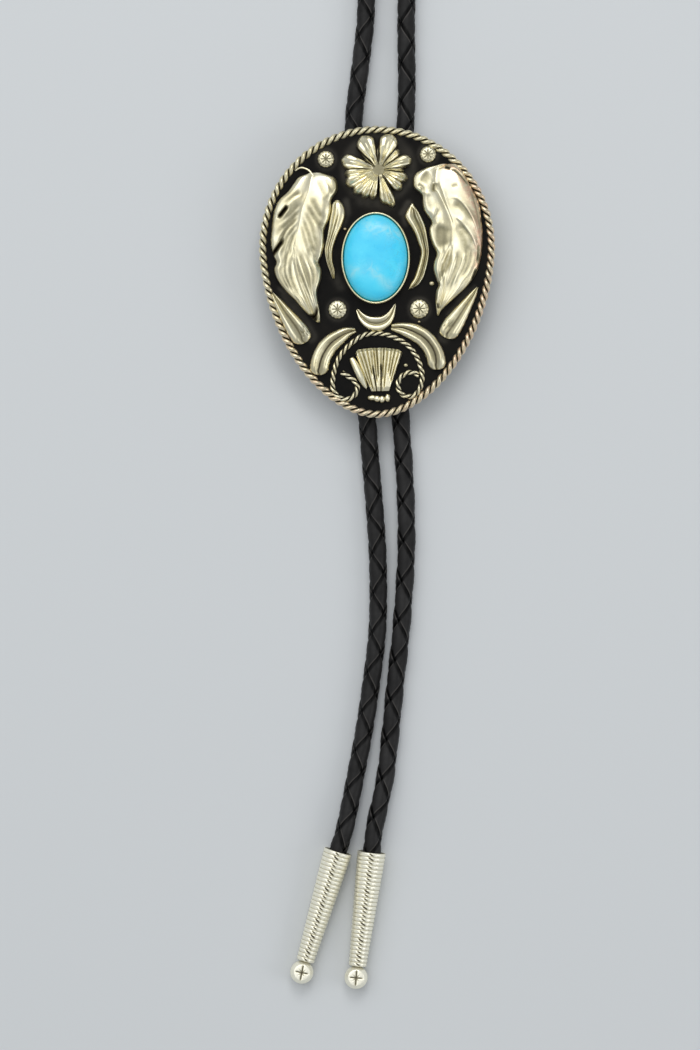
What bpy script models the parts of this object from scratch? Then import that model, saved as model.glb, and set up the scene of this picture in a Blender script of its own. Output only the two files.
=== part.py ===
"""A bolo tie: a silver slide with an oval turquoise on a braided leather cord with two ribbed tips.

Metres, +Z up. The tie lies flat on z = 0 with the slide's top towards +Y. The origin is the middle
of the back clip's flat underside, straight below the middle of the slide.
"""
import math

import bmesh
import bpy
import numpy as np
from mathutils import Matrix, Vector

# Gap kept between neighbouring pieces, and how deep soldered pieces sink into the plate
CLEARANCE = 0.0003
SOLDER_DEPTH = 0.0004

# Cord
CORD_DIAMETER = 0.0040
CORD_POINTS = 80

# Back clip: two channels for the cord, joined by a web above and a lever plate below
CHANNEL_SPACING = 0.0090
CHANNEL_WALL = 0.0008
CLIP_LENGTH = 0.0180
CLIP_WEB = 0.0010
CHANNEL_SIDES = 16

# Slide plate: an egg, widest at the shoulder, with a twisted rope wire on its edge
SLIDE_WIDTH = 0.0496
SLIDE_HEIGHT = 0.0614
SHOULDER_SHARE = 0.173
TOP_POWER = 2.0
BOTTOM_POWER = 1.8
PLATE_THICKNESS = 0.0013
RIM_ROPE_DIAMETER = 0.0017
RIM_LOBES = 96
STATIONS_PER_LOBE = 3
ROPE_WAIST = 0.62
RIM_ARC_DEGREES = (-90, -20, 45, 105, 180)

# Stone and bezel
STONE_WIDTH = 0.0135
STONE_LENGTH = 0.0183
STONE_HEIGHT = 0.0042
STONE_PLACE = (-0.013, 0.093)
BEZEL_WALL = 0.00035
OVAL_SIDES = 32

# Rise of each soldered ornament above the plate
LEAF_RISE = 0.0027
HORN_RISE = 0.0015
FLOWER_RISE = 0.0024
DOT_RISE = 0.0012
DROP_RISE = 0.0017
CRESCENT_RISE = 0.0014
FAN_RISE = 0.0017

FLOWER_RADIUS = 0.0076
FLOWER_PLACE = (0.014, 0.697)
FLOWER_HEART = 0.16
SCROLL_WIRE_DIAMETER = 0.00115
SCROLL_POINTS = 48
FAN_FLUTES = 7

# Tips: a ribbed hollow sleeve that tapers to a ball
TIP_MOUTH_DIAMETER = 0.0061
TIP_END_DIAMETER = 0.0038
TIP_SLEEVE_LENGTH = 0.0242
TIP_RIDGES = 28
TIP_RIDGE_DEPTH = 0.00014
TIP_BALL_DIAMETER = 0.0049
SOCKET_DEPTH = 0.0070
TIP_SIDES = 12

# Each tip: mouth x, mouth y, and degrees that the ball end turns from -Y towards -X
TIPS = {
    "left_tip": (-0.0082, -0.1217, 16.6),
    "right_tip": (-0.0011, -0.1219, 7.1),
}

# Cord route between the left socket and the clip: x, y, and height above lying on the surface
LEFT_TAIL = [
    (-0.0046, -0.1065, 0.00025),
    (-0.0027, -0.0964, 0.0),
    (-0.0012, -0.0864, 0.0),
    (0.0000, -0.0764, 0.0),
    (0.0003, -0.0676, 0.0),
    (0.0001, -0.0581, 0.0),
    (-0.0006, -0.0481, 0.0),
    (-0.0014, -0.0388, 0.00005),
    (-0.0021, -0.0305, 0.0002),
    (-0.0034, -0.0225, 0.0007),
]
# Round the neck, from the top of the clip's left channel back to the top of its right one
NECK_LOOP = [
    (-0.0049, 0.0230, 0.0007),
    (-0.0048, 0.0330, 0.0002),
    (-0.0039, 0.0404, 0.0),
    (-0.0030, 0.0476, 0.0),
    (-0.0023, 0.0551, 0.0),
    (-0.0026, 0.0660, 0.0),
    (-0.0065, 0.0810, 0.0),
    (-0.0160, 0.0990, 0.0),
    (-0.0295, 0.1215, 0.0),
    (-0.0420, 0.1475, 0.0),
    (-0.0510, 0.1755, 0.0),
    (-0.0550, 0.2045, 0.0),
    (-0.0525, 0.2330, 0.0),
    (-0.0425, 0.2600, 0.0),
    (-0.0235, 0.2790, 0.0),
    (0.0020, 0.2862, 0.0),
    (0.0275, 0.2790, 0.0),
    (0.0465, 0.2600, 0.0),
    (0.0565, 0.2330, 0.0),
    (0.0590, 0.2045, 0.0),
    (0.0550, 0.1755, 0.0),
    (0.0460, 0.1475, 0.0),
    (0.0335, 0.1215, 0.0),
    (0.0202, 0.0990, 0.0),
    (0.0108, 0.0810, 0.0),
    (0.0070, 0.0660, 0.0),
    (0.0062, 0.0551, 0.0),
    (0.0063, 0.0404, 0.0),
    (0.0061, 0.0330, 0.0002),
    (0.0054, 0.0230, 0.0007),
]
# From the clip's right channel down to the right socket
RIGHT_TAIL = [
    (0.0046, -0.0225, 0.0007),
    (0.0050, -0.0305, 0.0002),
    (0.0056, -0.0388, 0.00005),
    (0.0061, -0.0481, 0.0),
    (0.0062, -0.0581, 0.0),
    (0.0057, -0.0676, 0.0),
    (0.0050, -0.0764, 0.0),
    (0.0039, -0.0864, 0.0),
    (0.0029, -0.0964, 0.0),
    (0.0017, -0.1065, 0.00025),
]

# Tables of the ornaments. u and v are shares of half the slide's width and height from its middle,
# and rise is a share of the ornament's own rise.

# Leaf rows from stem to point: v, left edge u, vein u, right edge u, rise
LEFT_LEAF = [
    (0.675, -0.576, -0.542, -0.466, 0.45),
    (0.645, -0.661, -0.551, -0.364, 0.70),
    (0.600, -0.705, -0.565, -0.335, 0.85),
    (0.545, -0.755, -0.578, -0.340, 0.95),
    (0.490, -0.826, -0.604, -0.386, 1.00),
    (0.425, -0.864, -0.631, -0.390, 1.00),
    (0.355, -0.881, -0.648, -0.411, 0.95),
    (0.285, -0.890, -0.665, -0.445, 0.95),
    (0.200, -0.898, -0.686, -0.445, 0.95),
    (0.110, -0.877, -0.695, -0.470, 0.90),
    (0.065, -0.852, -0.695, -0.492, 0.90),
    (0.015, -0.869, -0.691, -0.470, 0.95),
    (-0.055, -0.843, -0.665, -0.475, 0.95),
    (-0.130, -0.775, -0.627, -0.504, 0.95),
    (-0.190, -0.699, -0.593, -0.500, 0.95),
    (-0.260, -0.623, -0.555, -0.487, 0.80),
    (-0.315, -0.551, -0.521, -0.479, 0.55),
    (-0.345, -0.508, -0.496, -0.483, 0.35),
]
RIGHT_LEAF = [
    (0.735, 0.534, 0.590, 0.669, 0.45),
    (0.705, 0.398, 0.517, 0.703, 0.70),
    (0.665, 0.318, 0.500, 0.737, 0.85),
    (0.615, 0.303, 0.496, 0.771, 0.95),
    (0.570, 0.314, 0.500, 0.797, 1.00),
    (0.525, 0.373, 0.525, 0.826, 1.00),
    (0.475, 0.380, 0.559, 0.856, 1.00),
    (0.415, 0.398, 0.602, 0.873, 1.00),
    (0.340, 0.458, 0.636, 0.881, 1.00),
    (0.290, 0.441, 0.653, 0.890, 1.00),
    (0.205, 0.458, 0.648, 0.890, 1.00),
    (0.125, 0.500, 0.610, 0.881, 0.95),
    (0.075, 0.483, 0.585, 0.869, 0.95),
    (0.020, 0.475, 0.572, 0.852, 0.95),
    (-0.035, 0.492, 0.574, 0.822, 0.95),
    (-0.090, 0.517, 0.572, 0.771, 0.90),
    (-0.135, 0.497, 0.564, 0.716, 0.85),
    (-0.200, 0.493, 0.542, 0.627, 0.75),
    (-0.260, 0.500, 0.525, 0.547, 0.50),
    (-0.298, 0.508, 0.514, 0.521, 0.35),
]
# Across a leaf: share of the way from the edge to the vein, and height share
LEAF_SECTION = [(0.0, 0.50), (0.35, 1.00), (0.75, 0.90), (1.0, 0.70)]

# Horn rows: v, left edge u, right edge u, rise
LEFT_HORN = [
    (0.488, -0.356, -0.314, 0.60),
    (0.460, -0.381, -0.288, 0.90),
    (0.413, -0.390, -0.268, 1.00),
    (0.358, -0.403, -0.275, 1.00),
    (0.290, -0.415, -0.309, 1.00),
    (0.222, -0.430, -0.345, 0.95),
    (0.146, -0.445, -0.373, 0.90),
    (0.071, -0.430, -0.373, 0.85),
    (0.012, -0.405, -0.356, 0.75),
    (-0.045, -0.377, -0.356, 0.55),
]
RIGHT_HORN = [
    (0.464, 0.288, 0.309, 0.60),
    (0.440, 0.263, 0.326, 0.80),
    (0.406, 0.242, 0.356, 1.00),
    (0.376, 0.232, 0.377, 1.00),
    (0.338, 0.257, 0.398, 1.00),
    (0.304, 0.286, 0.412, 1.00),
    (0.249, 0.322, 0.425, 1.00),
    (0.194, 0.346, 0.436, 0.95),
    (0.140, 0.369, 0.442, 0.95),
    (0.071, 0.355, 0.432, 0.90),
    (0.010, 0.333, 0.415, 0.90),
    (-0.038, 0.314, 0.394, 0.80),
    (-0.084, 0.281, 0.356, 0.70),
    (-0.117, 0.265, 0.288, 0.50),
]
# Band rows along a middle line: u, v, half width as a share of half the slide's width, rise
LEFT_TEARDROP = [
    (-0.880, -0.150, 0.012, 0.50),
    (-0.845, -0.195, 0.033, 0.75),
    (-0.785, -0.268, 0.055, 0.90),
    (-0.715, -0.350, 0.077, 1.00),
    (-0.668, -0.405, 0.086, 1.00),
    (-0.637, -0.443, 0.073, 0.95),
    (-0.615, -0.478, 0.030, 0.70),
]
RIGHT_TEARDROP = [
    (0.845, -0.110, 0.012, 0.50),
    (0.808, -0.158, 0.033, 0.75),
    (0.748, -0.232, 0.055, 0.90),
    (0.680, -0.315, 0.077, 1.00),
    (0.634, -0.370, 0.086, 1.00),
    (0.607, -0.409, 0.073, 0.95),
    (0.592, -0.446, 0.030, 0.70),
]
LEFT_CURVED_DROP = [
    (-0.186, -0.398, 0.010, 0.50),
    (-0.253, -0.410, 0.034, 0.80),
    (-0.324, -0.447, 0.064, 1.00),
    (-0.398, -0.493, 0.077, 1.00),
    (-0.450, -0.551, 0.081, 1.00),
    (-0.478, -0.608, 0.079, 1.00),
    (-0.487, -0.656, 0.064, 0.95),
    (-0.489, -0.696, 0.026, 0.70),
]
RIGHT_CURVED_DROP = [
    (0.127, -0.376, 0.014, 0.50),
    (0.222, -0.387, 0.045, 0.85),
    (0.306, -0.410, 0.067, 1.00),
    (0.391, -0.449, 0.074, 1.00),
    (0.453, -0.506, 0.077, 1.00),
    (0.489, -0.563, 0.079, 1.00),
    (0.503, -0.616, 0.064, 0.95),
    (0.505, -0.659, 0.026, 0.70),
]
CRESCENT = [
    (-0.162, -0.271, 0.008, 0.50),
    (-0.119, -0.308, 0.024, 0.85),
    (-0.062, -0.336, 0.040, 1.00),
    (0.000, -0.345, 0.047, 1.00),
    (0.059, -0.333, 0.040, 1.00),
    (0.110, -0.293, 0.024, 0.85),
    (0.146, -0.234, 0.008, 0.50),
]
FAN_SIDE_FLUTE = [
    (-0.211, -0.585, 0.010, 0.60),
    (-0.180, -0.645, 0.020, 0.85),
    (-0.140, -0.720, 0.020, 0.85),
    (-0.108, -0.784, 0.010, 0.60),
]
FAN_FOOT = [
    (-0.078, -0.862, 0.022, 0.65),
    (-0.016, -0.868, 0.030, 0.75),
    (0.047, -0.868, 0.030, 0.75),
    (0.109, -0.860, 0.022, 0.65),
]
# Across a band: place from the left edge, -1, to the right edge, 1, and height share
GROOVED_SECTION = [(-1.0, 0.45), (-0.55, 1.0), (0.0, 0.72), (0.55, 1.0), (1.0, 0.45)]
ROUND_SECTION = [(-1.0, 0.45), (-0.45, 0.95), (0.45, 0.95), (1.0, 0.45)]

# Fan corners: u, v
FAN_TOP = [(-0.176, -0.537), (0.017, -0.519), (0.211, -0.551)]
FAN_BOTTOM = [(-0.046, -0.813), (0.109, -0.818)]

# Petals: bearing in degrees from +X, reach as a share of the flower's radius, half angle in degrees
PETALS = [
    (16, 0.93, 15),
    (42, 0.72, 13),
    (66, 0.95, 17),
    (117, 0.95, 17),
    (167, 1.00, 15),
    (192, 0.93, 14),
    (215, 0.95, 13),
    (239, 0.88, 13),
    (259, 0.82, 11),
    (290, 1.06, 16),
    (316, 0.83, 14),
    (345, 0.80, 15),
]
PETAL_STEPS = 6

# Stamped dots: u, v, radius as a share of half the slide's width
DOTS = [
    (-0.432, 0.769, 0.073),
    (0.430, 0.802, 0.071),
    (-0.334, -0.257, 0.080),
    (0.358, -0.253, 0.083),
]
DOT_SIDES = 12
DOT_SECTION = [(1.0, 0.45), (0.80, 0.80), (0.45, 1.0)]

# Scroll of rope wire: u, v, from the inner end of the left curl to the end of the right one
SCROLL = [
    (-0.296, -0.687),
    (-0.247, -0.712),
    (-0.195, -0.742),
    (-0.165, -0.795),
    (-0.195, -0.846),
    (-0.253, -0.869),
    (-0.318, -0.858),
    (-0.362, -0.818),
    (-0.376, -0.761),
    (-0.355, -0.653),
    (-0.306, -0.566),
    (-0.218, -0.489),
    (-0.103, -0.430),
    (0.028, -0.421),
    (0.144, -0.447),
    (0.253, -0.497),
    (0.337, -0.583),
    (0.378, -0.679),
    (0.380, -0.740),
    (0.362, -0.795),
    (0.325, -0.836),
    (0.271, -0.852),
    (0.214, -0.838),
    (0.180, -0.796),
    (0.180, -0.750),
    (0.212, -0.711),
    (0.262, -0.688),
    (0.318, -0.690),
]

# Stone from base to top: share of the half width, share of the height
STONE_SECTION = [(1.0, 0.0), (0.985, 0.40), (0.945, 0.60), (0.86, 0.76), (0.70, 0.89), (0.45, 0.97)]
BEZEL_ROWS = 3

CORD_RADIUS = CORD_DIAMETER / 2
CHANNEL_RADIUS = CORD_RADIUS + CLEARANCE
CHANNEL_HEIGHT = CHANNEL_RADIUS + CHANNEL_WALL
CLIP_HEIGHT = 2 * CHANNEL_HEIGHT
PLATE_BACK = CLIP_HEIGHT + CLEARANCE
PLATE_FRONT = PLATE_BACK + PLATE_THICKNESS
RIM_RADIUS = RIM_ROPE_DIAMETER / 2
TIP_MOUTH_RADIUS = TIP_MOUTH_DIAMETER / 2
TIP_BALL_RADIUS = TIP_BALL_DIAMETER / 2


def clear_scene():
    for thing in list(bpy.data.objects):
        bpy.data.objects.remove(thing, do_unlink=True)


def material(name, colour, roughness, metallic=0.0):
    made = bpy.data.materials.new(name)
    made.use_nodes = True
    shader = made.node_tree.nodes["Principled BSDF"]
    shader.inputs["Base Color"].default_value = (*colour, 1.0)
    shader.inputs["Roughness"].default_value = roughness
    shader.inputs["Metallic"].default_value = metallic
    return made


def object_from(name, points, faces, finish=None):
    """One mesh object from points and faces, shaded smooth where it is round."""
    mesh = bpy.data.meshes.new(name)
    mesh.from_pydata([tuple(point) for point in points], [], [tuple(face) for face in faces])
    mesh.validate()
    made = bpy.data.objects.new(name, mesh)
    bpy.context.collection.objects.link(made)
    if finish:
        mesh.materials.append(finish)
    mesh.shade_smooth()
    mesh.set_sharp_from_angle(angle=math.radians(35))
    return made


def as_cutter(made):
    made.hide_render = True
    made.display_type = 'WIRE'
    return made


def smooth_route(points, count):
    """Points evenly spaced along the Catmull-Rom curve through the route's own points."""
    knots = np.array(points, dtype=float)
    ends = np.vstack([2 * knots[0] - knots[1], knots, 2 * knots[-1] - knots[-2]])
    t = np.linspace(0, 1, 24, endpoint=False)[:, None]
    runs = []
    for a, b, c, d in zip(ends[:-3], ends[1:-2], ends[2:-1], ends[3:]):
        bend = 2 * a - 5 * b + 4 * c - d
        twist = 3 * b - a - 3 * c + d
        runs.append(b + 0.5 * t * (c - a + t * (bend + t * twist)))
    line = np.vstack(runs + [knots[-1:]])
    travelled = np.concatenate([[0], np.cumsum(np.linalg.norm(np.diff(line, axis=0), axis=1))])
    even = np.linspace(0, travelled[-1], count)
    return np.column_stack([np.interp(even, travelled, column) for column in line.T])


def on_slide(u, v):
    """A place on the slide from its shares of half the width and height."""
    return u * SLIDE_WIDTH / 2, v * SLIDE_HEIGHT / 2


def egg_outline(count):
    """Evenly spaced points and outward directions on the middle line of the rim's rope."""
    half_width = SLIDE_WIDTH / 2 - RIM_RADIUS
    half_height = SLIDE_HEIGHT / 2 - RIM_RADIUS
    shoulder = SHOULDER_SHARE * half_height
    turn = np.linspace(0, 2 * math.pi, 4000)
    upper = turn <= math.pi
    power = np.where(upper, 2 / TOP_POWER, 2 / BOTTOM_POWER)
    reach = np.where(upper, half_height - shoulder, half_height + shoulder)
    x = half_width * np.sign(np.cos(turn)) * np.abs(np.cos(turn)) ** power
    y = shoulder + reach * np.sign(np.sin(turn)) * np.abs(np.sin(turn)) ** power
    travelled = np.concatenate([[0], np.cumsum(np.hypot(np.diff(x), np.diff(y)))])
    even = np.linspace(0, travelled[-1], count, endpoint=False)
    points = np.column_stack([np.interp(even, travelled, x), np.interp(even, travelled, y)])
    along = np.roll(points, -1, axis=0) - np.roll(points, 1, axis=0)
    along /= np.linalg.norm(along, axis=1)[:, None]
    return points, np.column_stack([along[:, 1], -along[:, 0]])


def ring_faces(first, second, count):
    """Quads between two closed rings of points."""
    steps = range(count)
    return [(first + i, first + (i + 1) % count, second + (i + 1) % count, second + i) for i in steps]


def make_plate(name, finish):
    """The egg plate with the rope wire on its edge, its two strands turning round each other."""
    count = RIM_LOBES * STATIONS_PER_LOBE
    middle, outward = egg_outline(count)
    twist = math.pi * np.arange(count) / STATIONS_PER_LOBE
    rings = [np.column_stack([middle, np.full(count, PLATE_BACK)])]
    for degrees in RIM_ARC_DEGREES:
        angle = math.radians(degrees)
        reach = RIM_RADIUS * np.maximum(np.abs(np.cos(angle - twist)), ROPE_WAIST)
        out = (reach * math.cos(angle))[:, None]
        height = PLATE_FRONT + reach * math.sin(angle)
        rings.append(np.column_stack([middle + outward * out, height]))
    faces = [tuple(range(count))[::-1]]
    for step in range(len(RIM_ARC_DEGREES)):
        faces += ring_faces(step * count, (step + 1) * count, count)
    last = len(RIM_ARC_DEGREES) * count
    faces.append(tuple(range(last, last + count)))
    return object_from(name, np.vstack(rings), faces, finish)


def solid_under(name, grid, closed=False):
    """A soldered ornament: its top is the grid of points, and its sides and flat base reach into the plate."""
    rows, columns = grid.shape[:2]
    index = np.arange(rows * columns).reshape(rows, columns)
    points = grid.reshape(-1, 3)
    faces = []
    wrap = columns if closed else columns - 1
    for i in range(rows - 1):
        for j in range(wrap):
            k = (j + 1) % columns
            faces.append((index[i, j], index[i + 1, j], index[i + 1, k], index[i, k]))
    if closed:
        faces.append(tuple(index[0]))
        edge = index[-1]
    else:
        edge = np.concatenate([index[0], index[1:, -1], index[-1, -2::-1], index[-2:0:-1, 0]])
    base = points[edge].copy()
    base[:, 2] = PLATE_FRONT - SOLDER_DEPTH
    start = len(points)
    count = len(edge)
    for i in range(count):
        j = (i + 1) % count
        faces.append((edge[i], edge[j], start + j, start + i))
    faces.append(tuple(range(start, start + count)))
    made = object_from(name, np.vstack([points, base]), faces)
    point_outwards(made)
    return as_cutter(made)


def point_outwards(made):
    shape = bmesh.new()
    shape.from_mesh(made.data)
    bmesh.ops.recalc_face_normals(shape, faces=shape.faces[:])
    shape.to_mesh(made.data)
    shape.free()


def make_leaf(name, rows):
    """Rows across the leaf: each half rises from its edge to a crest and dips to the middle vein."""
    grid = []
    for v, left, vein, right, rise in rows:
        height = LEAF_RISE * rise
        line = [(left + share * (vein - left), level) for share, level in LEAF_SECTION]
        line += [(right + share * (vein - right), level) for share, level in LEAF_SECTION[-2::-1]]
        grid.append([(*on_slide(u, v), PLATE_FRONT + height * level) for u, level in line])
    return solid_under(name, np.array(grid))


def make_horn(name, rows):
    grid = []
    for v, left, right, rise in rows:
        middle, half = (left + right) / 2, (right - left) / 2
        line = [(middle + place * half, level) for place, level in GROOVED_SECTION]
        grid.append([(*on_slide(u, v), PLATE_FRONT + HORN_RISE * rise * level) for u, level in line])
    return solid_under(name, np.array(grid))


def make_band(name, rows, section, rise):
    """A form along a middle line: each row is a section across it, square to the line."""
    middle = np.array([on_slide(u, v) for u, v, half, share in rows])
    along = np.gradient(middle, axis=0)
    along /= np.linalg.norm(along, axis=1)[:, None]
    across = np.column_stack([along[:, 1], -along[:, 0]])
    grid = []
    for place, side, (u, v, half, share) in zip(middle, across, rows):
        reach = half * SLIDE_WIDTH / 2
        flat = [place + side * reach * step for step, level in section]
        heights = [PLATE_FRONT + rise * share * level for step, level in section]
        grid.append([(*xy, z) for xy, z in zip(flat, heights)])
    return solid_under(name, np.array(grid))


def make_fan(name):
    """Flutes that spread from the narrow foot to the wide top edge."""
    count = 2 * FAN_FLUTES + 1
    share = np.linspace(0, 1, count)
    top = np.array([on_slide(*corner) for corner in FAN_TOP])
    low = np.array([on_slide(*corner) for corner in FAN_BOTTOM])
    upper = np.column_stack([np.interp(share, (0, 0.5, 1), top[:, axis]) for axis in (0, 1)])
    lower = np.column_stack([np.interp(share, (0, 1), low[:, axis]) for axis in (0, 1)])
    crest = np.where(np.arange(count) % 2 == 1, 1.0, 0.70)
    grid = []
    for step, level in ((0.0, 0.70), (0.5, 0.95), (0.93, 1.0), (1.0, 0.60)):
        flat = lower + step * (upper - lower)
        grid.append(np.column_stack([flat, PLATE_FRONT + FAN_RISE * level * crest]))
    return solid_under(name, np.array(grid))


def make_flower(name):
    """Petals round a low heart: the outline is the longest petal lobe in each direction."""
    centre = np.array(on_slide(*FLOWER_PLACE))
    bearings = []
    crests = []
    for number, (bearing, reach, half) in enumerate(PETALS):
        following = PETALS[(number + 1) % len(PETALS)]
        gap = (following[0] - bearing) % 360
        bearings += [bearing - half * 0.6, bearing, bearing + half * 0.6, bearing + gap / 2]
        tight = gap / (half + following[2])
        valley = 0.80 * min(reach, following[1]) if tight < 1.2 else 0.42
        crests += [(reach * 0.93, 0.80), (reach, 1.0), (reach * 0.93, 0.80), (valley, 0.45)]
    turn = np.radians(bearings)
    reach = np.array([crest[0] for crest in crests]) * FLOWER_RADIUS
    crest = np.array([crest[1] for crest in crests])
    grid = []
    for out, level in ((FLOWER_HEART, 0.55), (0.55, 0.95), (0.88, 1.0), (1.0, 0.55)):
        flat = centre + (reach * out)[:, None] * np.column_stack([np.cos(turn), np.sin(turn)])
        fluted = level if out == FLOWER_HEART else level * crest
        height = np.broadcast_to(PLATE_FRONT + FLOWER_RISE * fluted, turn.shape)
        grid.append(np.column_stack([flat, height]))
    return solid_under(name, np.array(grid), closed=True)


def make_dot(name, u, v, radius):
    centre = np.array(on_slide(u, v))
    turn = np.linspace(0, 2 * math.pi, DOT_SIDES, endpoint=False)
    around = np.column_stack([np.cos(turn), np.sin(turn)])
    grid = []
    for out, level in DOT_SECTION[::-1]:
        flat = centre + around * out * radius * SLIDE_WIDTH / 2
        grid.append(np.column_stack([flat, np.full(DOT_SIDES, PLATE_FRONT + DOT_RISE * level)]))
    return solid_under(name, np.array(grid), closed=True)


def make_scroll(name):
    """The scroll wire, half sunk in the plate so that the solder holds its whole length."""
    route = smooth_route([on_slide(u, v) for u, v in SCROLL], SCROLL_POINTS)
    radius = SCROLL_WIRE_DIAMETER / 2
    heights = np.full(len(route), PLATE_FRONT + radius * 0.6)
    wire = tube("wire_route", np.column_stack([route, heights]), radius, 1)
    bpy.context.view_layer.update()
    mesh = bpy.data.meshes.new_from_object(wire.evaluated_get(bpy.context.evaluated_depsgraph_get()))
    bpy.data.objects.remove(wire, do_unlink=True)
    made = bpy.data.objects.new(name, mesh)
    bpy.context.collection.objects.link(made)
    return as_cutter(made)


def tube(name, route, radius, resolution, finish=None):
    """A round cord or wire: a bevelled curve with a straight run from point to point."""
    curve = bpy.data.curves.new(name, 'CURVE')
    curve.dimensions = '3D'
    curve.bevel_depth = radius
    curve.bevel_resolution = resolution
    curve.use_fill_caps = True
    curve.twist_mode = 'Z_UP'
    line = curve.splines.new('POLY')
    line.points.add(len(route) - 1)
    line.points.foreach_set("co", np.column_stack([route, np.ones(len(route))]).ravel())
    line.use_smooth = True
    made = bpy.data.objects.new(name, curve)
    bpy.context.collection.objects.link(made)
    if finish:
        curve.materials.append(finish)
    return made


def oval(grow, share=1.0):
    """Points on the stone's oval outline, scaled by share and then grown outward by a distance."""
    turn = np.linspace(0, 2 * math.pi, OVAL_SIDES, endpoint=False)
    half_width = STONE_WIDTH / 2 * share + grow
    half_length = STONE_LENGTH / 2 * share + grow
    centre = np.array(on_slide(*STONE_PLACE))
    return centre + np.column_stack([half_width * np.cos(turn), half_length * np.sin(turn)])


def make_bezel(name):
    """A thin wall round the stone whose lip leans in over the dome's edge and traps it."""
    base = PLATE_FRONT + CLEARANCE
    rows = [(share, base + level * STONE_HEIGHT) for share, level in STONE_SECTION[:BEZEL_ROWS]]
    rows[0] = (rows[0][0], PLATE_FRONT - SOLDER_DEPTH)
    inner = [np.column_stack([oval(CLEARANCE, share), np.full(OVAL_SIDES, z)]) for share, z in rows]
    wall = CLEARANCE + BEZEL_WALL
    outer = [np.column_stack([oval(wall, share), np.full(OVAL_SIDES, z)]) for share, z in rows]
    rings = outer + inner[::-1]
    faces = []
    for step in range(len(rings)):
        faces += ring_faces(step * OVAL_SIDES, (step + 1) % len(rings) * OVAL_SIDES, OVAL_SIDES)
    made = object_from(name, np.vstack(rings), faces)
    point_outwards(made)
    return as_cutter(made)


def make_stone(finish):
    """The cabochon: an oval with nearly upright sides under a low dome."""
    base = PLATE_FRONT + CLEARANCE
    rings = []
    for share, level in STONE_SECTION:
        rings.append(np.column_stack([oval(0, share), np.full(OVAL_SIDES, base + level * STONE_HEIGHT)]))
    top = [*on_slide(*STONE_PLACE), base + STONE_HEIGHT]
    points = np.vstack(rings + [[top]])
    faces = [tuple(range(OVAL_SIDES))[::-1]]
    for step in range(len(rings) - 1):
        faces += ring_faces(step * OVAL_SIDES, (step + 1) * OVAL_SIDES, OVAL_SIDES)
    last = (len(rings) - 1) * OVAL_SIDES
    faces += [(last + i, last + (i + 1) % OVAL_SIDES, len(points) - 1) for i in range(OVAL_SIDES)]
    return object_from("turquoise_cabochon", points, faces, finish)


def join_into(target, parts, name):
    """Solder: a Boolean union of the target with every part."""
    group = bpy.data.collections.new(name)
    bpy.context.scene.collection.children.link(group)
    for part in parts:
        group.objects.link(part)
        bpy.context.collection.objects.unlink(part)
    solder = target.modifiers.new(name, 'BOOLEAN')
    solder.operation = 'UNION'
    solder.operand_type = 'COLLECTION'
    solder.collection = group
    solder.solver = 'EXACT'


def make_slide(finish):
    slide = make_plate("silver_slide", finish)
    parts = [
        make_leaf("left_leaf", LEFT_LEAF),
        make_leaf("right_leaf", RIGHT_LEAF),
        make_horn("left_horn", LEFT_HORN),
        make_horn("right_horn", RIGHT_HORN),
        make_flower("flower"),
        make_bezel("bezel"),
        make_band("left_teardrop", LEFT_TEARDROP, GROOVED_SECTION, DROP_RISE),
        make_band("right_teardrop", RIGHT_TEARDROP, GROOVED_SECTION, DROP_RISE),
        make_band("left_curved_drop", LEFT_CURVED_DROP, GROOVED_SECTION, DROP_RISE),
        make_band("right_curved_drop", RIGHT_CURVED_DROP, GROOVED_SECTION, DROP_RISE),
        make_band("crescent", CRESCENT, ROUND_SECTION, CRESCENT_RISE),
        make_fan("fan"),
        make_band("fan_side_flute", FAN_SIDE_FLUTE, ROUND_SECTION, FAN_RISE),
        make_band("fan_foot", FAN_FOOT, ROUND_SECTION, FAN_RISE),
        make_scroll("scroll"),
    ]
    for number, (u, v, radius) in enumerate(DOTS, 1):
        parts.append(make_dot(f"dot_{number}", u, v, radius))
    join_into(slide, parts, "soldered_ornaments")
    return slide


def make_clip(finish):
    """Two round channels side by side, joined by a web above and the lever plate below."""
    half = CHANNEL_SPACING / 2
    outline = []
    for side in (1, -1):
        for step in range(CHANNEL_SIDES // 2 + 1):
            angle = math.pi * step / (CHANNEL_SIDES // 2) - math.pi / 2
            x = side * (half + CHANNEL_HEIGHT * math.cos(angle))
            outline.append((x, CHANNEL_HEIGHT + side * CHANNEL_HEIGHT * math.sin(angle)))
    count = len(outline)
    points = [(x, -CLIP_LENGTH / 2, z) for x, z in outline] + [(x, CLIP_LENGTH / 2, z) for x, z in outline]
    faces = [tuple(range(count)), tuple(range(count, 2 * count))[::-1]]
    faces += ring_faces(0, count, count)
    clip = object_from("back_clip", points, faces, finish)
    point_outwards(clip)
    for side in (1, -1):
        cut(clip, channel_cutter(side * half))
    gap = 2 * (half - CHANNEL_HEIGHT)
    slot = Vector((gap, CLIP_LENGTH * 2, CLIP_HEIGHT - 2 * CLIP_WEB))
    cut(clip, box_cutter("lever_gap_cutter", slot, Vector((0, 0, CHANNEL_HEIGHT))))
    return clip


def channel_cutter(x):
    shape = bmesh.new()
    turn = Matrix.Translation((x, 0, CHANNEL_HEIGHT)) @ Matrix.Rotation(math.pi / 2, 4, 'X')
    bmesh.ops.create_cone(
        shape, cap_ends=True, segments=CHANNEL_SIDES, radius1=CHANNEL_RADIUS, radius2=CHANNEL_RADIUS,
        depth=CLIP_LENGTH * 2, matrix=turn)
    return cutter_from(shape, "channel_cutter")


def box_cutter(name, size, place):
    shape = bmesh.new()
    bmesh.ops.create_cube(shape, size=1.0, matrix=Matrix.Translation(place) @ Matrix.Diagonal((*size, 1)))
    return cutter_from(shape, name)


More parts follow.
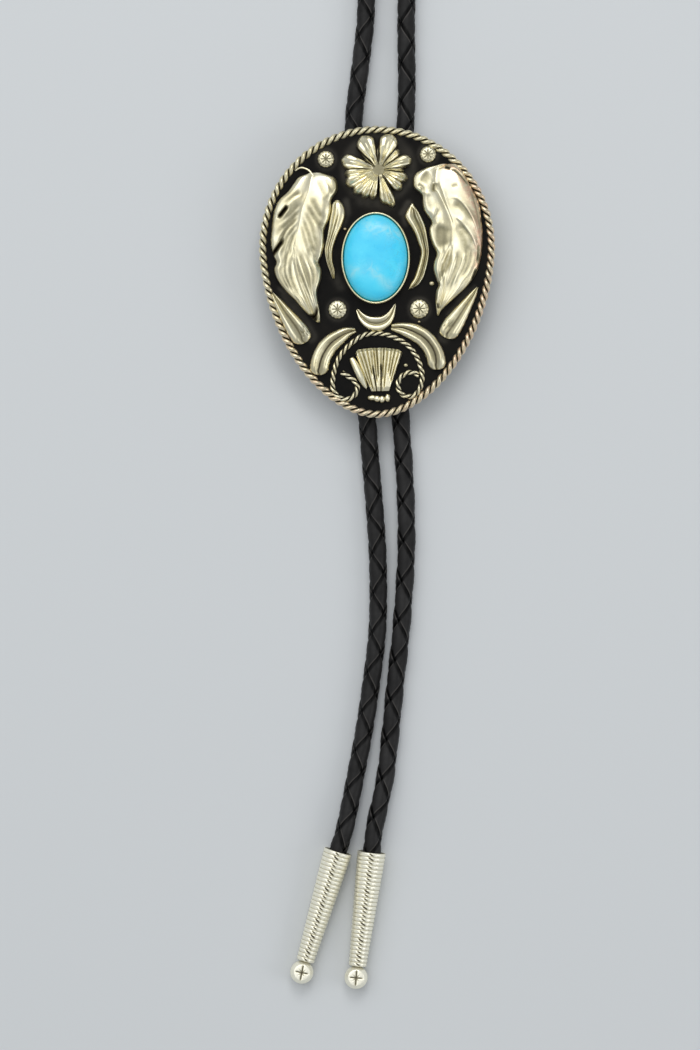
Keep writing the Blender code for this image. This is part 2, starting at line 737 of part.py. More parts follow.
def cutter_from(shape, name):
    mesh = bpy.data.meshes.new(name)
    shape.to_mesh(mesh)
    shape.free()
    made = bpy.data.objects.new(name, mesh)
    bpy.context.collection.objects.link(made)
    return as_cutter(made)


def cut(target, cutter):
    knife = target.modifiers.new(cutter.name, 'BOOLEAN')
    knife.operation = 'DIFFERENCE'
    knife.object = cutter
    knife.solver = 'EXACT'


def tip_axis(name):
    """The middle of a tip's mouth, and the direction from there to its ball, which also rests on the surface."""
    x, y, degrees = TIPS[name]
    mouth = Vector((x, y, TIP_MOUTH_RADIUS))
    turn = math.radians(degrees)
    run = TIP_SLEEVE_LENGTH + TIP_BALL_RADIUS
    slope = math.asin((TIP_MOUTH_RADIUS - TIP_BALL_RADIUS) / run)
    flat = math.cos(slope)
    return mouth, Vector((-math.sin(turn) * flat, -math.cos(turn) * flat, -math.sin(slope)))


def tip_section():
    """Half section of a tip from the bottom of its socket, out of the mouth, over the ridges to the ball's end."""
    bore = CORD_RADIUS + CLEARANCE
    rows = [(bore, SOCKET_DEPTH), (bore, 0.0)]
    pitch = TIP_SLEEVE_LENGTH / TIP_RIDGES
    taper = (TIP_END_DIAMETER - TIP_MOUTH_DIAMETER) / 2 / TIP_SLEEVE_LENGTH
    for ridge in range(TIP_RIDGES):
        for share, depth in ((0.0, TIP_RIDGE_DEPTH), (0.5, 0.0)):
            along = (ridge + share) * pitch
            rows.append((TIP_MOUTH_RADIUS + taper * along - depth, along))
    neck = TIP_END_DIAMETER / 2 - TIP_RIDGE_DEPTH
    rows.append((neck, TIP_SLEEVE_LENGTH))
    centre = TIP_SLEEVE_LENGTH + TIP_BALL_RADIUS
    for degrees in (-40, -15, 15, 40, 65):
        angle = math.radians(degrees)
        rows.append((TIP_BALL_RADIUS * math.cos(angle), centre + TIP_BALL_RADIUS * math.sin(angle)))
    return rows


def make_tip(name, finish):
    mouth, direction = tip_axis(name)
    side = direction.cross(Vector((0, 0, 1))).normalized()
    up = side.cross(direction)
    turn = [2 * math.pi * step / TIP_SIDES for step in range(TIP_SIDES)]
    points = []
    for radius, along in tip_section():
        middle = mouth + direction * along
        points += [middle + radius * (math.cos(a) * side + math.sin(a) * up) for a in turn]
    rows = len(points) // TIP_SIDES
    faces = [tuple(range(TIP_SIDES))[::-1]]
    for step in range(rows - 1):
        faces += ring_faces(step * TIP_SIDES, (step + 1) * TIP_SIDES, TIP_SIDES)
    pole = mouth + direction * (TIP_SLEEVE_LENGTH + TIP_BALL_DIAMETER)
    points.append(pole)
    last = (rows - 1) * TIP_SIDES
    faces += [(last + i, last + (i + 1) % TIP_SIDES, len(points) - 1) for i in range(TIP_SIDES)]
    made = object_from(name, points, faces, finish)
    point_outwards(made)
    return made


def socket_route(name):
    """Cord points from the bottom of a tip's socket to just outside its mouth."""
    mouth, direction = tip_axis(name)
    deep = SOCKET_DEPTH - CLEARANCE
    return [mouth + direction * along for along in (deep, 0.0, -0.0055)]


def channel_route(side):
    """Cord points straight through one of the clip's channels, from its lower to its upper end."""
    x = side * CHANNEL_SPACING / 2
    half = CLIP_LENGTH / 2
    return [(x, y, CHANNEL_HEIGHT) for y in (-half * 1.6, -half, half, half * 1.6)]


def make_cord(finish):
    """The braided cord as a plain round tube along its route, one piece from tip to tip."""
    def lying(rows):
        return [(x, y, CORD_RADIUS + rise) for x, y, rise in rows]

    route = socket_route("left_tip") + lying(LEFT_TAIL) + channel_route(-1) + lying(NECK_LOOP)
    route += channel_route(1)[::-1] + lying(RIGHT_TAIL) + socket_route("right_tip")[::-1]
    return tube("braided_cord", smooth_route(route, CORD_POINTS), CORD_RADIUS, 2, finish)


def build():
    clear_scene()
    silver = material("nickel_silver", (0.78, 0.74, 0.60), 0.25, 1.0)
    turquoise = material("turquoise", (0.07, 0.55, 0.80), 0.25)
    steel = material("plated_steel", (0.60, 0.60, 0.58), 0.35, 1.0)
    leather = material("black_leather", (0.015, 0.014, 0.014), 0.50)
    make_slide(silver)
    make_stone(turquoise)
    make_clip(steel)
    make_cord(leather)
    for name in TIPS:
        make_tip(name, silver)


build()
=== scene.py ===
import math

import bpy
import numpy as np
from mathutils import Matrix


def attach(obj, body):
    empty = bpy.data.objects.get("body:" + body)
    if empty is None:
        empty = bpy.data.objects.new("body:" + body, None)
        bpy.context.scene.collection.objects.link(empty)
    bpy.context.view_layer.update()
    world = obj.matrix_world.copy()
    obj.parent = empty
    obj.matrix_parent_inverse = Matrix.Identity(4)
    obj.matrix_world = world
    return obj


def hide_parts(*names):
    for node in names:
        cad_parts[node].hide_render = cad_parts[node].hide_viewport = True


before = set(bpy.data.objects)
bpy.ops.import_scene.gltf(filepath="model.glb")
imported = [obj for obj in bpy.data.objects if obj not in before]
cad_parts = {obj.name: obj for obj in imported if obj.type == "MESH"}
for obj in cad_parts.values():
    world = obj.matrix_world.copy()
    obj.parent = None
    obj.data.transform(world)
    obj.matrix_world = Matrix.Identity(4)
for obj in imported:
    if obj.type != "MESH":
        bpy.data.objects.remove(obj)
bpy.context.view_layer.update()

# The camera
# It looks straight down on the tie where it lies, as the photograph does. The far end of the neck
# loop is past the top edge of the picture there too.
VIEW_CENTRE = (-0.00567, -0.05305)
VIEW_LENGTH = 0.2205
SLIDE_LEVEL = 0.006
LENS = 180.0
FILM_LENGTH = 36.0

camera = bpy.data.objects.new("camera", bpy.data.cameras.new("camera"))
bpy.context.scene.collection.objects.link(camera)
bpy.context.scene.camera = camera
camera.data.lens = LENS
camera.data.sensor_width = FILM_LENGTH
camera_rise = VIEW_LENGTH * LENS / FILM_LENGTH
camera.location = (*VIEW_CENTRE, SLIDE_LEVEL + camera_rise)

# The braided cord
# One round cord of four black leather laces, from tip to tip through the clip and round the neck.
# Two laces run one way round and two the other, over one and under one, with their cut edges showing.
CORD_DIAMETER = 0.0040
CORD_RADIUS = CORD_DIAMETER / 2
CLIP_CORD_RISE = 0.0031
CHANNEL_SPACING = 0.0090
CLIP_LENGTH = 0.0180
PITCH = 0.0168
LACE_SWING = 0.00025
LACE_CROWN = 0.00014
LACE_THICKNESS = 0.00036
LACE_HALF_TURN = 0.231
# Across a lace's outer side: place from its left edge, share of the crown, and 0 on its face, 0.5 on its cut
# edge and 1 below it, where its lower side is painted black as shade. The right half mirrors the left.
LACE_LEFT = [
    (-1.00, -1.30, 1.0),
    (-0.98, -0.40, 0.9),
    (-0.93, 0.15, 0.5),
    (-0.84, 0.42, 0.1),
    (-0.60, 0.78, 0.0),
    (-0.20, 1.00, 0.0),
]
LACE_OUTSIDE = LACE_LEFT + [(-place, crown, cut) for place, crown, cut in LACE_LEFT[::-1]]
# Its underside: place, and 1 where it is painted black as shade
LACE_INSIDE = [(0.98, 1.0), (0.40, 0.0), (-0.40, 0.0), (-0.98, 1.0)]

TIP_MOUTH_DIAMETER = 0.0061
TIP_END_DIAMETER = 0.0038
TIP_SLEEVE_LENGTH = 0.0242
TIP_BALL_DIAMETER = 0.0049
SOCKET_DEPTH = 0.0070
# Each tip: mouth x, mouth y, and degrees that the ball end turns from -Y towards -X
TIPS = {
    "left_tip": (-0.0082, -0.1217, 16.6),
    "right_tip": (-0.0011, -0.1219, 7.1),
}

# Cord route between the left socket and the clip: x, y, and height above lying on the surface
LEFT_TAIL = [
    (-0.0046, -0.1065, 0.00025),
    (-0.0027, -0.0964, 0.0),
    (-0.0012, -0.0864, 0.0),
    (0.0000, -0.0764, 0.0),
    (0.0003, -0.0676, 0.0),
    (0.0001, -0.0581, 0.0),
    (-0.0006, -0.0481, 0.0),
    (-0.0014, -0.0388, 0.00005),
    (-0.0021, -0.0305, 0.0002),
    (-0.0034, -0.0225, 0.0007),
]
# Round the neck, from the top of the clip's left channel back to the top of its right one. The wide far part
# is the same on both sides of its middle.
LOOP_MIDDLE = 0.0020
WIDE_LOOP = [
    (-0.0295, 0.1215, 0.0),
    (-0.0420, 0.1475, 0.0),
    (-0.0510, 0.1755, 0.0),
    (-0.0550, 0.2045, 0.0),
    (-0.0525, 0.2330, 0.0),
    (-0.0425, 0.2600, 0.0),
    (-0.0235, 0.2790, 0.0),
]
NECK_LOOP = [
    (-0.0049, 0.0230, 0.0007),
    (-0.0048, 0.0330, 0.0002),
    (-0.0039, 0.0404, 0.0),
    (-0.0030, 0.0476, 0.0),
    (-0.0023, 0.0551, 0.0),
    (-0.0026, 0.0660, 0.0),
    (-0.0065, 0.0810, 0.0),
    (-0.0160, 0.0990, 0.0),
    *WIDE_LOOP,
    (LOOP_MIDDLE, 0.2862, 0.0),
    *((2 * LOOP_MIDDLE - x, y, rise) for x, y, rise in WIDE_LOOP[::-1]),
    (0.0202, 0.0990, 0.0),
    (0.0108, 0.0810, 0.0),
    (0.0070, 0.0660, 0.0),
    (0.0062, 0.0551, 0.0),
    (0.0063, 0.0404, 0.0),
    (0.0061, 0.0330, 0.0002),
    (0.0054, 0.0230, 0.0007),
]
# From the clip's right channel down to the right socket
RIGHT_TAIL = [
    (0.0046, -0.0225, 0.0007),
    (0.0050, -0.0305, 0.0002),
    (0.0056, -0.0388, 0.00005),
    (0.0061, -0.0481, 0.0),
    (0.0062, -0.0581, 0.0),
    (0.0057, -0.0676, 0.0),
    (0.0050, -0.0764, 0.0),
    (0.0039, -0.0864, 0.0),
    (0.0029, -0.0964, 0.0),
    (0.0017, -0.1065, 0.00025),
]
CORD_CLEARANCE = 0.0003
# How far the cord runs straight: past the clip's middle in shares of its half length, and out of a socket
CHANNEL_LEAD = 1.6
SOCKET_LEAD = 0.0055
CURVE_STEPS = 24
SHARP_DEGREES = 50


def tip_axis(name):
    """The middle of a tip's mouth, and the direction to its ball: turned by the tip's angle, and sloped so
    that both the mouth's rim and the ball touch the surface."""
    x, y, degrees = TIPS[name]
    turn = math.radians(degrees)
    fall = (TIP_MOUTH_DIAMETER - TIP_BALL_DIAMETER) / 2
    slope = math.asin(fall / (TIP_SLEEVE_LENGTH + TIP_BALL_DIAMETER / 2))
    flat = math.cos(slope)
    direction = (-math.sin(turn) * flat, -math.cos(turn) * flat, -math.sin(slope))
    return np.array([x, y, TIP_MOUTH_DIAMETER / 2]), np.array(direction)


def smooth_route(points, count):
    """Points evenly spaced along the Catmull-Rom curve through the route's own points: between b and c the
    curve is b + t(c - a)/2 + t^2(2a - 5b + 4c - d)/2 + t^3(3b - a - 3c + d)/2."""
    knots = np.array(points, dtype=float)
    ends = np.vstack([2 * knots[0] - knots[1], knots, 2 * knots[-1] - knots[-2]])
    t = np.linspace(0, 1, CURVE_STEPS, endpoint=False)[None, :, None]
    a, b, c, d = (ends[i:len(ends) - 3 + i, None] for i in range(4))
    runs = b + 0.5 * t * (c - a + t * (2 * a - 5 * b + 4 * c - d + t * (3 * b - a - 3 * c + d)))
    line = np.vstack([runs.reshape(-1, knots.shape[1]), knots[-1:]])
    travelled = distances(line)
    even = np.linspace(0, travelled[-1], count)
    return np.column_stack([np.interp(even, travelled, column) for column in line.T])


def distances(line):
    """Distance travelled along a line at each of its points: the running sum of its steps."""
    return np.concatenate([[0], np.cumsum(np.linalg.norm(np.diff(line, axis=0), axis=1))])


def unit(vectors):
    """Each vector over its own length."""
    return vectors / np.linalg.norm(vectors, axis=-1, keepdims=True)


def carry(path, radius, azimuth, lift=(0.0, 0.0, 1.0), closed=False):
    """A profile carried along a path: point = path + radius (side cos azimuth + up sin azimuth), where up is
    lift made square to the path and side is up x along."""
    around = np.vstack([path[-1:], path, path[:1]]) if closed else path
    along = np.gradient(around, axis=0)
    along = unit(along[1:-1] if closed else along)
    lift = np.broadcast_to(lift, path.shape)
    up = unit(lift - along * (lift * along).sum(1)[:, None])
    side = np.cross(up, along)
    out = radius * np.cos(azimuth)
    rise = radius * np.sin(azimuth)
    return path[:, None] + side[:, None] * out[..., None] + up[:, None] * rise[..., None]


def tube_faces(rings, sides, closed=False):
    """Quads between neighbouring rings of points, and a cap on each end unless the tube closes on itself."""
    index = np.arange(rings * sides).reshape(rings, sides)
    first = index if closed else index[:-1]
    second = np.roll(index, -1, axis=0) if closed else index[1:]
    quads = np.stack([first, np.roll(first, -1, 1), np.roll(second, -1, 1), second], axis=-1)
    faces = quads.reshape(-1, 4).tolist()
    if not closed:
        faces += [index[0, ::-1].tolist(), index[-1].tolist()]
    return faces


def add_piece(name, shells, material, node, attributes=None):
    """One mesh from closed shells, each a pair of points and faces, with its faces turned outward: the
    signed volume, a sum of a . (b x c) / 6, is positive. It stands for a node of the solids."""
    points, faces, start = [], [], 0
    for shell_points, shell_faces in shells:
        flat = np.asarray(shell_points, dtype=float).reshape(-1, 3)
        quads = np.array([face for face in shell_faces if len(face) == 4])
        a, b, c, d = (flat[quads[:, i]] for i in range(4))
        volume = (a * (np.cross(b, c) + np.cross(c, d))).sum()
        step = 1 if volume > 0 else -1
        faces += [[start + i for i in face[::step]] for face in shell_faces]
        points.append(flat)
        start += len(flat)
    mesh = bpy.data.meshes.new(name)
    mesh.from_pydata(np.vstack(points).tolist(), [], faces)
    for key, values in (attributes or {}).items():
        made = mesh.attributes.new(key, "FLOAT", "POINT")
        made.data.foreach_set("value", np.concatenate([np.ravel(v) for v in values]).astype(np.float32))
    mesh.validate()
    mesh.shade_smooth()
    mesh.set_sharp_from_angle(angle=math.radians(SHARP_DEGREES))
    mesh.materials.append(material)
    piece = bpy.data.objects.new(name, mesh)
    bpy.context.scene.collection.objects.link(piece)
    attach(piece, "root")
    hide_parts(node)
    return piece


def lying(rows):
    """Route points with the cord's middle at its radius over the surface, and higher by each row's rise."""
    return [(x, y, CORD_RADIUS + rise) for x, y, rise in rows]


def channel_route(side):
    """Straight through a channel of the clip, from below it to above."""
    x = side * CHANNEL_SPACING / 2
    shares = (-CHANNEL_LEAD, -1.0, 1.0, CHANNEL_LEAD)
    return [(x, share * CLIP_LENGTH / 2, CLIP_CORD_RISE) for share in shares]


def socket_route(name):
    """Straight out of a tip along its axis, from the bottom of its socket."""
    mouth, direction = tip_axis(name)
    return [tuple(mouth + direction * along) for along in (SOCKET_DEPTH - CORD_CLEARANCE, 0.0, -SOCKET_LEAD)]


def braid_shells(path, start, pitch, turn):
    """Four laces round the path. At z pitches along, a lace lies at azimuth 2 pi (z - number/2 - share), and
    its radius swings by cos(2 pi (2z - share)), up where it passes over and down where it passes under. The
    two laces of the other hand have both signs turned."""
    z = (distances(path) - start)[:, None] / pitch
    place, crown, cut = np.array(LACE_OUTSIDE).T
    place_in, cut_in = np.array(LACE_INSIDE).T
    share = np.concatenate([place, place_in]) * LACE_HALF_TURN
    rise = np.concatenate([crown * LACE_CROWN, np.full(len(place_in), -LACE_THICKNESS)])
    middle = CORD_RADIUS - LACE_SWING - LACE_CROWN
    shells, edges, heights = [], [], []
    for hand in (1, -1):
        for number in (0, 1):
            swing = hand * np.cos(2 * math.pi * (2 * z - share))
            azimuth = hand * 2 * math.pi * (z - number / 2 - share) + math.radians(turn)
            rings = carry(path, middle + LACE_SWING * swing + rise, azimuth)
            shells.append((rings, tube_faces(*rings.shape[:2])))
            edges.append(np.broadcast_to(np.concatenate([cut, cut_in]), swing.shape))
            heights.append((swing + 1) / 2)
    # Painted shade: a 1 in the edge values and a low lace height mark where the laces are painted near black
    return shells, {"cut_edge_and_shade": edges, "lace_height": heights}


def crossing(path, y, late=False):
    """Distance along a path to where it crosses y, in its first half or late, in its second."""
    half = len(path) // 2
    gap = np.abs(path[:, 1] - y)
    return distances(path)[half + gap[half:].argmin() if late else gap[:half].argmin()]


def add_node(tree, kind, values=None, links=None, **settings):
    """A shader node with its settings, the values of its sockets, and the outputs that feed its sockets."""
    node = tree.nodes.new("ShaderNode" + kind)
    for key, value in settings.items():
        setattr(node, key, value)
    for key, value in (values or {}).items():
        node.inputs[key].default_value = value
    for key, source in (links or {}).items():
        tree.links.new(source, node.inputs[key])
    return node


def effect(name, inputs, outputs):
    """An empty shader node group with named inputs, each with its value, and named outputs."""
    group = bpy.data.node_groups.new(name, "ShaderNodeTree")
    for key, value in inputs.items():
        kind = "NodeSocketColor" if isinstance(value, tuple) else "NodeSocketFloat"
        group.interface.new_socket(key, in_out="INPUT", socket_type=kind).default_value = value
    for key, kind in outputs.items():
        group.interface.new_socket(key, in_out="OUTPUT", socket_type="NodeSocket" + kind)
    return group, group.nodes.new("NodeGroupInput").outputs, group.nodes.new("NodeGroupOutput").inputs


def finish_of(name, **constants):
    """A material with one Principled BSDF whose constants are set on its own sockets."""
    made = bpy.data.materials.new(name)
    made.use_nodes = True
    shader = made.node_tree.nodes["Principled BSDF"]
    for key, value in constants.items():
        shader.inputs[key.replace("_", " ")].default_value = value
    return made, made.node_tree, shader


def place_effect(tree, group, values, links=None):
    """A group placed in a material with its own values."""
    return add_node(tree, "Group", values, links, node_tree=group).outputs


def object_place(tree, scale=None):
    """Object coordinates in metres, or times a scale."""
    metres = add_node(tree, "TexCoord").outputs["Object"]
    if scale is None:
        return metres
    return add_node(tree, "VectorMath", {}, {0: metres, "Scale": scale}, operation="SCALE").outputs[0]


def grain_effect():
    """Fine pebble and wide mottling: a Voronoi cell distance for the height and two noises for the tone."""
    group, given, result = effect("grain", {"Scale": 1.0}, {"Height": "Float", "Tone": "Float"})
    sized = object_place(group, given["Scale"])
    cells = add_node(group, "TexVoronoi", {"Scale": 3.0}, {"Vector": sized}, feature="SMOOTH_F1")
    wide = add_node(group, "TexNoise", {"Scale": 0.35, "Detail": 4.0}, {"Vector": sized}).outputs["Fac"]
    fine = add_node(group, "TexNoise", {"Scale": 2.5, "Detail": 3.0}, {"Vector": sized}).outputs["Fac"]
    both = add_node(group, "Math", {1: 0.4}, {0: fine, 2: wide}, operation="MULTIPLY_ADD").outputs[0]
    centred = add_node(group, "Math", {1: 0.7}, {0: both}, operation="SUBTRACT").outputs[0]
    group.links.new(cells.outputs["Distance"], result["Height"])
    group.links.new(centred, result["Tone"])
    return group


def blend_colours(tree, share, first, second):
    """Two colours mixed by a share, each a colour or a socket."""
    node = add_node(tree, "Mix", {}, {0: share}, data_type="RGBA", clamp_factor=True)
    for index, colour in ((6, first), (7, second)):
        if isinstance(colour, tuple):
            node.inputs[index].default_value = (*colour, 1.0)
        else:
            tree.links.new(colour, node.inputs[index])
    return node.outputs[2]


def spread_of(tree, value, low, high, to_low=0.0, to_high=1.0):
    """A value mapped from one range to another, and held at its ends."""
    sizes = {"From Min": low, "From Max": high, "To Min": to_low, "To Max": to_high}
    return add_node(tree, "MapRange", sizes, {"Value": value}).outputs[0]


def product(tree, first, second):
    """Two values times each other."""
    return add_node(tree, "Math", {}, {0: first, 1: second}, operation="MULTIPLY").outputs[0]


def bump_on(tree, shader, height, distance, strength):
    """Fine relief by a Bump node, in metres of height."""
    node = add_node(tree, "Bump", {"Strength": strength, "Distance": distance}, {"Height": height})
    tree.links.new(node.outputs[0], shader.inputs["Normal"])


def attribute(tree, name):
    """A value that the mesh holds at its points."""
    return add_node(tree, "Attribute", attribute_name=name).outputs["Fac"]


GRAIN = grain_effect()
# Leather from its darkest to its palest tone, on the face and along the cut edges, and the near black of
# the painted shade in the seams, where a lace dips under its neighbour, and on each lace's lower sides
LEATHER_FACE = ((0.0112, 0.0109, 0.0108), (0.0265, 0.0258, 0.0255))
LEATHER_EDGE = ((0.058, 0.054, 0.050), (0.12, 0.11, 0.10))
PAINTED_SEAM_SHADE = (0.0002, 0.0002, 0.0002)


def leather_finish():
    """Black leather: charcoal on the raised laces, paler along the cut edges, and near black painted shade in
    the seams where a lace dips under its neighbour and on each lace's lower sides.
    """
    sockets = {"Specular_IOR_Level": 0.12, "Sheen_Weight": 0.02, "Sheen_Roughness": 0.4}
    made, tree, shader = finish_of("black_leather", **sockets)
    grain = place_effect(tree, GRAIN, {"Scale": 2200.0})
    smudge = place_effect(tree, GRAIN, {"Scale": 420.0})
    height = spread_of(tree, attribute(tree, "lace_height"), 0.60, 0.72)
    tone = spread_of(tree, smudge["Tone"], -0.25, 0.25)
    face = blend_colours(tree, tone, *LEATHER_FACE)
    edge = attribute(tree, "cut_edge_and_shade")
    pale = blend_colours(tree, grain["Tone"], *LEATHER_EDGE)
    lace = blend_colours(tree, spread_of(tree, edge, 0.08, 0.45), face, pale)
    # Painted shade: near black where a lace dips under its neighbour and on its lower sides
    lit = product(tree, height, spread_of(tree, edge, 0.60, 0.85, 1.0, 0.0))
    tree.links.new(blend_colours(tree, lit, PAINTED_SEAM_SHADE, lace), shader.inputs["Base Color"])
    tree.links.new(spread_of(tree, smudge["Tone"], -0.3, 0.3, 0.50, 0.34), shader.inputs["Roughness"])
    bump_on(tree, shader, grain["Height"], 0.00003, 0.5)
    return made


LEATHER = leather_finish()
ROUTE_POINTS = 9000
ROUTE_SKIP = 12
TAIL_STEP = 0.00035
LOOP_STEP = 0.00050
# Where a crossing of the laces lies on top, as y on each tail and on each side of the loop
LEFT_CROSSING, RIGHT_CROSSING = -0.0421, -0.0481
LOOP_LEFT_CROSSING, LOOP_RIGHT_CROSSING = 0.0332, 0.0360

left_route = socket_route("left_tip") + lying(LEFT_TAIL) + channel_route(-1)
right_route = channel_route(1)[::-1] + lying(RIGHT_TAIL) + socket_route("right_tip")[::-1]
whole = smooth_route(left_route + lying(NECK_LOOP) + right_route, ROUTE_POINTS)
middle_gap = np.abs(whole[:, 1]) + np.abs(whole[:, 2] - CLIP_CORD_RISE)
halfway = len(whole) // 2
left_join = middle_gap[:halfway].argmin()
right_join = halfway + middle_gap[halfway:].argmin()


def stretch(first, last, step):
    """The cord's line between two of its points, in even steps."""
    line = whole[first:last] if last > first else whole[last:first][::-1]
    return smooth_route(line[::ROUTE_SKIP], round(distances(line)[-1] / step))


left_line = stretch(left_join, 0, TAIL_STEP)
right_line = stretch(right_join, len(whole), TAIL_STEP)
loop_line = stretch(left_join, right_join, LOOP_STEP)
loop_start = crossing(loop_line, LOOP_LEFT_CROSSING)
loop_run = crossing(loop_line, LOOP_RIGHT_CROSSING, late=True) - loop_start
loop_pitch = loop_run / (round(2 * loop_run / PITCH) / 2 + 0.25)
# Each stretch: its line, where its braid starts along it, its pitch, and degrees that its braid is turned
cords = {
    "left_tail_cord": (left_line, crossing(left_line, LEFT_CROSSING) - PITCH / 4, PITCH, 135),
    "right_tail_cord": (right_line, crossing(right_line, RIGHT_CROSSING) - PITCH / 4, PITCH, 118),
    "neck_cord": (loop_line, loop_start - loop_pitch / 4, loop_pitch, 45),
}
for name, (line, start, pitch, turn) in cords.items():
    shells, attributes = braid_shells(line, start, pitch, turn)
    add_piece(name, shells, LEATHER, "braided_cord", attributes)

# The tips
# Each is a hollow tapered sleeve of nickel silver, ribbed all round and chased with columns of slanted cuts.
# A ball with a stamped cross on its upper face is soldered to its end.
TIP_RIDGES = 28
TIP_RIDGE_DEPTH = 0.00019
TIP_SIDES = 152
ROWS_PER_RIDGE = 8
CUT_COLUMNS = 4
CUT_LENGTH, CUT_WIDTH, CUT_SLANT = 0.00054, 0.00028, -1.5
BLACK_CUT_EVERY, BLACK_CUT, GREY_CUT = 4, 1.9, 1.1
CHIP_OFF, CHIP_SIZE = 0.0011, 0.00016
MOUTH_STEP, MOUTH_LIP = 0.0002, 0.00025
BALL_SIDES, BALL_ROWS = 72, 48
BALL_FACE = 0.70
CROSS_DEPTH, SHORT_CUT_DEPTH, SCALLOP_DEPTH = 0.00011, 0.00006, 0.00006
SCALLOPS = 14
# Stamped in the ball, in metres: the width of each line of the cross, and where it begins and ends to fade
# on its way out. Then the width of the short cuts, how far out they lie and their reach, and the same for
# the scalloped rim.
LONG_WIDTH, LONG_FADE = 0.00020, (0.0013, 0.0019)
ACROSS_WIDTH, ACROSS_FADE = 0.00018, (0.0010, 0.0016)
SHORT_WIDTH, SHORT_OUT, SHORT_REACH = 0.00009, 0.0006, 0.0003
RIM_OUT, RIM_REACH = 0.00205, 0.0003
# Silver: clean, under a yellow film, flashed pink, dull in the shallow hollows, black in the deep ones, and
# open metal on the tips
CLEAN_SILVER = (0.90, 0.87, 0.69)
YELLOW_SILVER = (0.84, 0.75, 0.47)
COPPER_PINK = (0.86, 0.55, 0.38)
OLIVE_TARNISH = (0.37, 0.34, 0.215)
BLACK_TARNISH = (0.030, 0.021, 0.014)
OPEN_METAL = (1.0, 0.97, 0.82)


def dip(distance, width):
    """A smooth narrow groove: 1 at no distance and falling as a bell curve of that width."""
    return np.exp(-(distance / width) ** 2)


def ease(value, low, high):
    """A smooth step: 0 below low, 1 above high, and 3t^2 - 2t^3 between."""
    t = np.clip((value - low) / (high - low), 0, 1)
    return t * t * (3 - 2 * t)


def silver_effect():
    """Silver with tarnish: bright metal, a yellow film in wide patches, copper pink where solder has flashed,
    olive in the shallow hollows and black in the deep ones, with fine marks for the height."""
    inputs = {"Hollow": 0.0, "Flash": 0.0, "Warmth": 0.5, "Scale": 1.0}
    outputs = {"Color": "Color", "Roughness": "Float", "Height": "Float"}
    group, given, result = effect("aged_silver", inputs, outputs)
    sized = object_place(group, given["Scale"])
    film_look = {"Scale": 0.55, "Detail": 5.0, "Roughness": 0.6}
    mark_look = {"Scale": 3.2, "Detail": 6.0, "Roughness": 0.7}
    film = add_node(group, "TexNoise", film_look, {"Vector": sized}).outputs["Fac"]
    mark = add_node(group, "TexNoise", mark_look, {"Vector": sized}).outputs["Fac"]
    warm = add_node(group, "Math", {}, {0: film, 1: given["Warmth"]}, operation="ADD").outputs[0]
    clean = blend_colours(group, spread_of(group, warm, 0.75, 1.25), CLEAN_SILVER, YELLOW_SILVER)
    pink = product(group, given["Flash"], spread_of(group, mark, 0.34, 0.56))
    clean = blend_colours(group, pink, clean, COPPER_PINK)
    hollow = {0: mark, 2: given["Hollow"]}
    deep = add_node(group, "Math", {1: 0.35}, hollow, operation="MULTIPLY_ADD").outputs[0]
    shallow = blend_colours(group, spread_of(group, deep, 0.18, 0.62), clean, OLIVE_TARNISH)
    colour = blend_colours(group, spread_of(group, deep, 0.60, 1.10), shallow, BLACK_TARNISH)
    group.links.new(colour, result["Color"])
    group.links.new(spread_of(group, deep, 0.1, 0.9, 0.30, 0.50), result["Roughness"])
    group.links.new(mark, result["Height"])
    return group


AGED_SILVER = silver_effect()


def silver_finish(name, warmth, scale, whiten=0.0, metallic=1.0):
    """Aged silver driven by a mesh's own hollow and flash values, and whiter on open metal by a share."""
    made, tree, shader = finish_of(name, Metallic=metallic)
    given = {"Hollow": attribute(tree, "hollow"), "Flash": attribute(tree, "flash")}
    aged = place_effect(tree, AGED_SILVER, {"Warmth": warmth, "Scale": scale}, given)
    open_metal = spread_of(tree, given["Hollow"], 0.10, 0.50, whiten, 0.0)
    colour = blend_colours(tree, open_metal, aged["Color"], OPEN_METAL)
    tree.links.new(colour, shader.inputs["Base Color"])
    tree.links.new(aged["Roughness"], shader.inputs["Roughness"])
    bump_on(tree, shader, aged["Height"], 0.00002, 0.6)
    return made


TIP_SILVER = silver_finish("tip_silver", 0.30, 700.0, whiten=0.85, metallic=0.6)


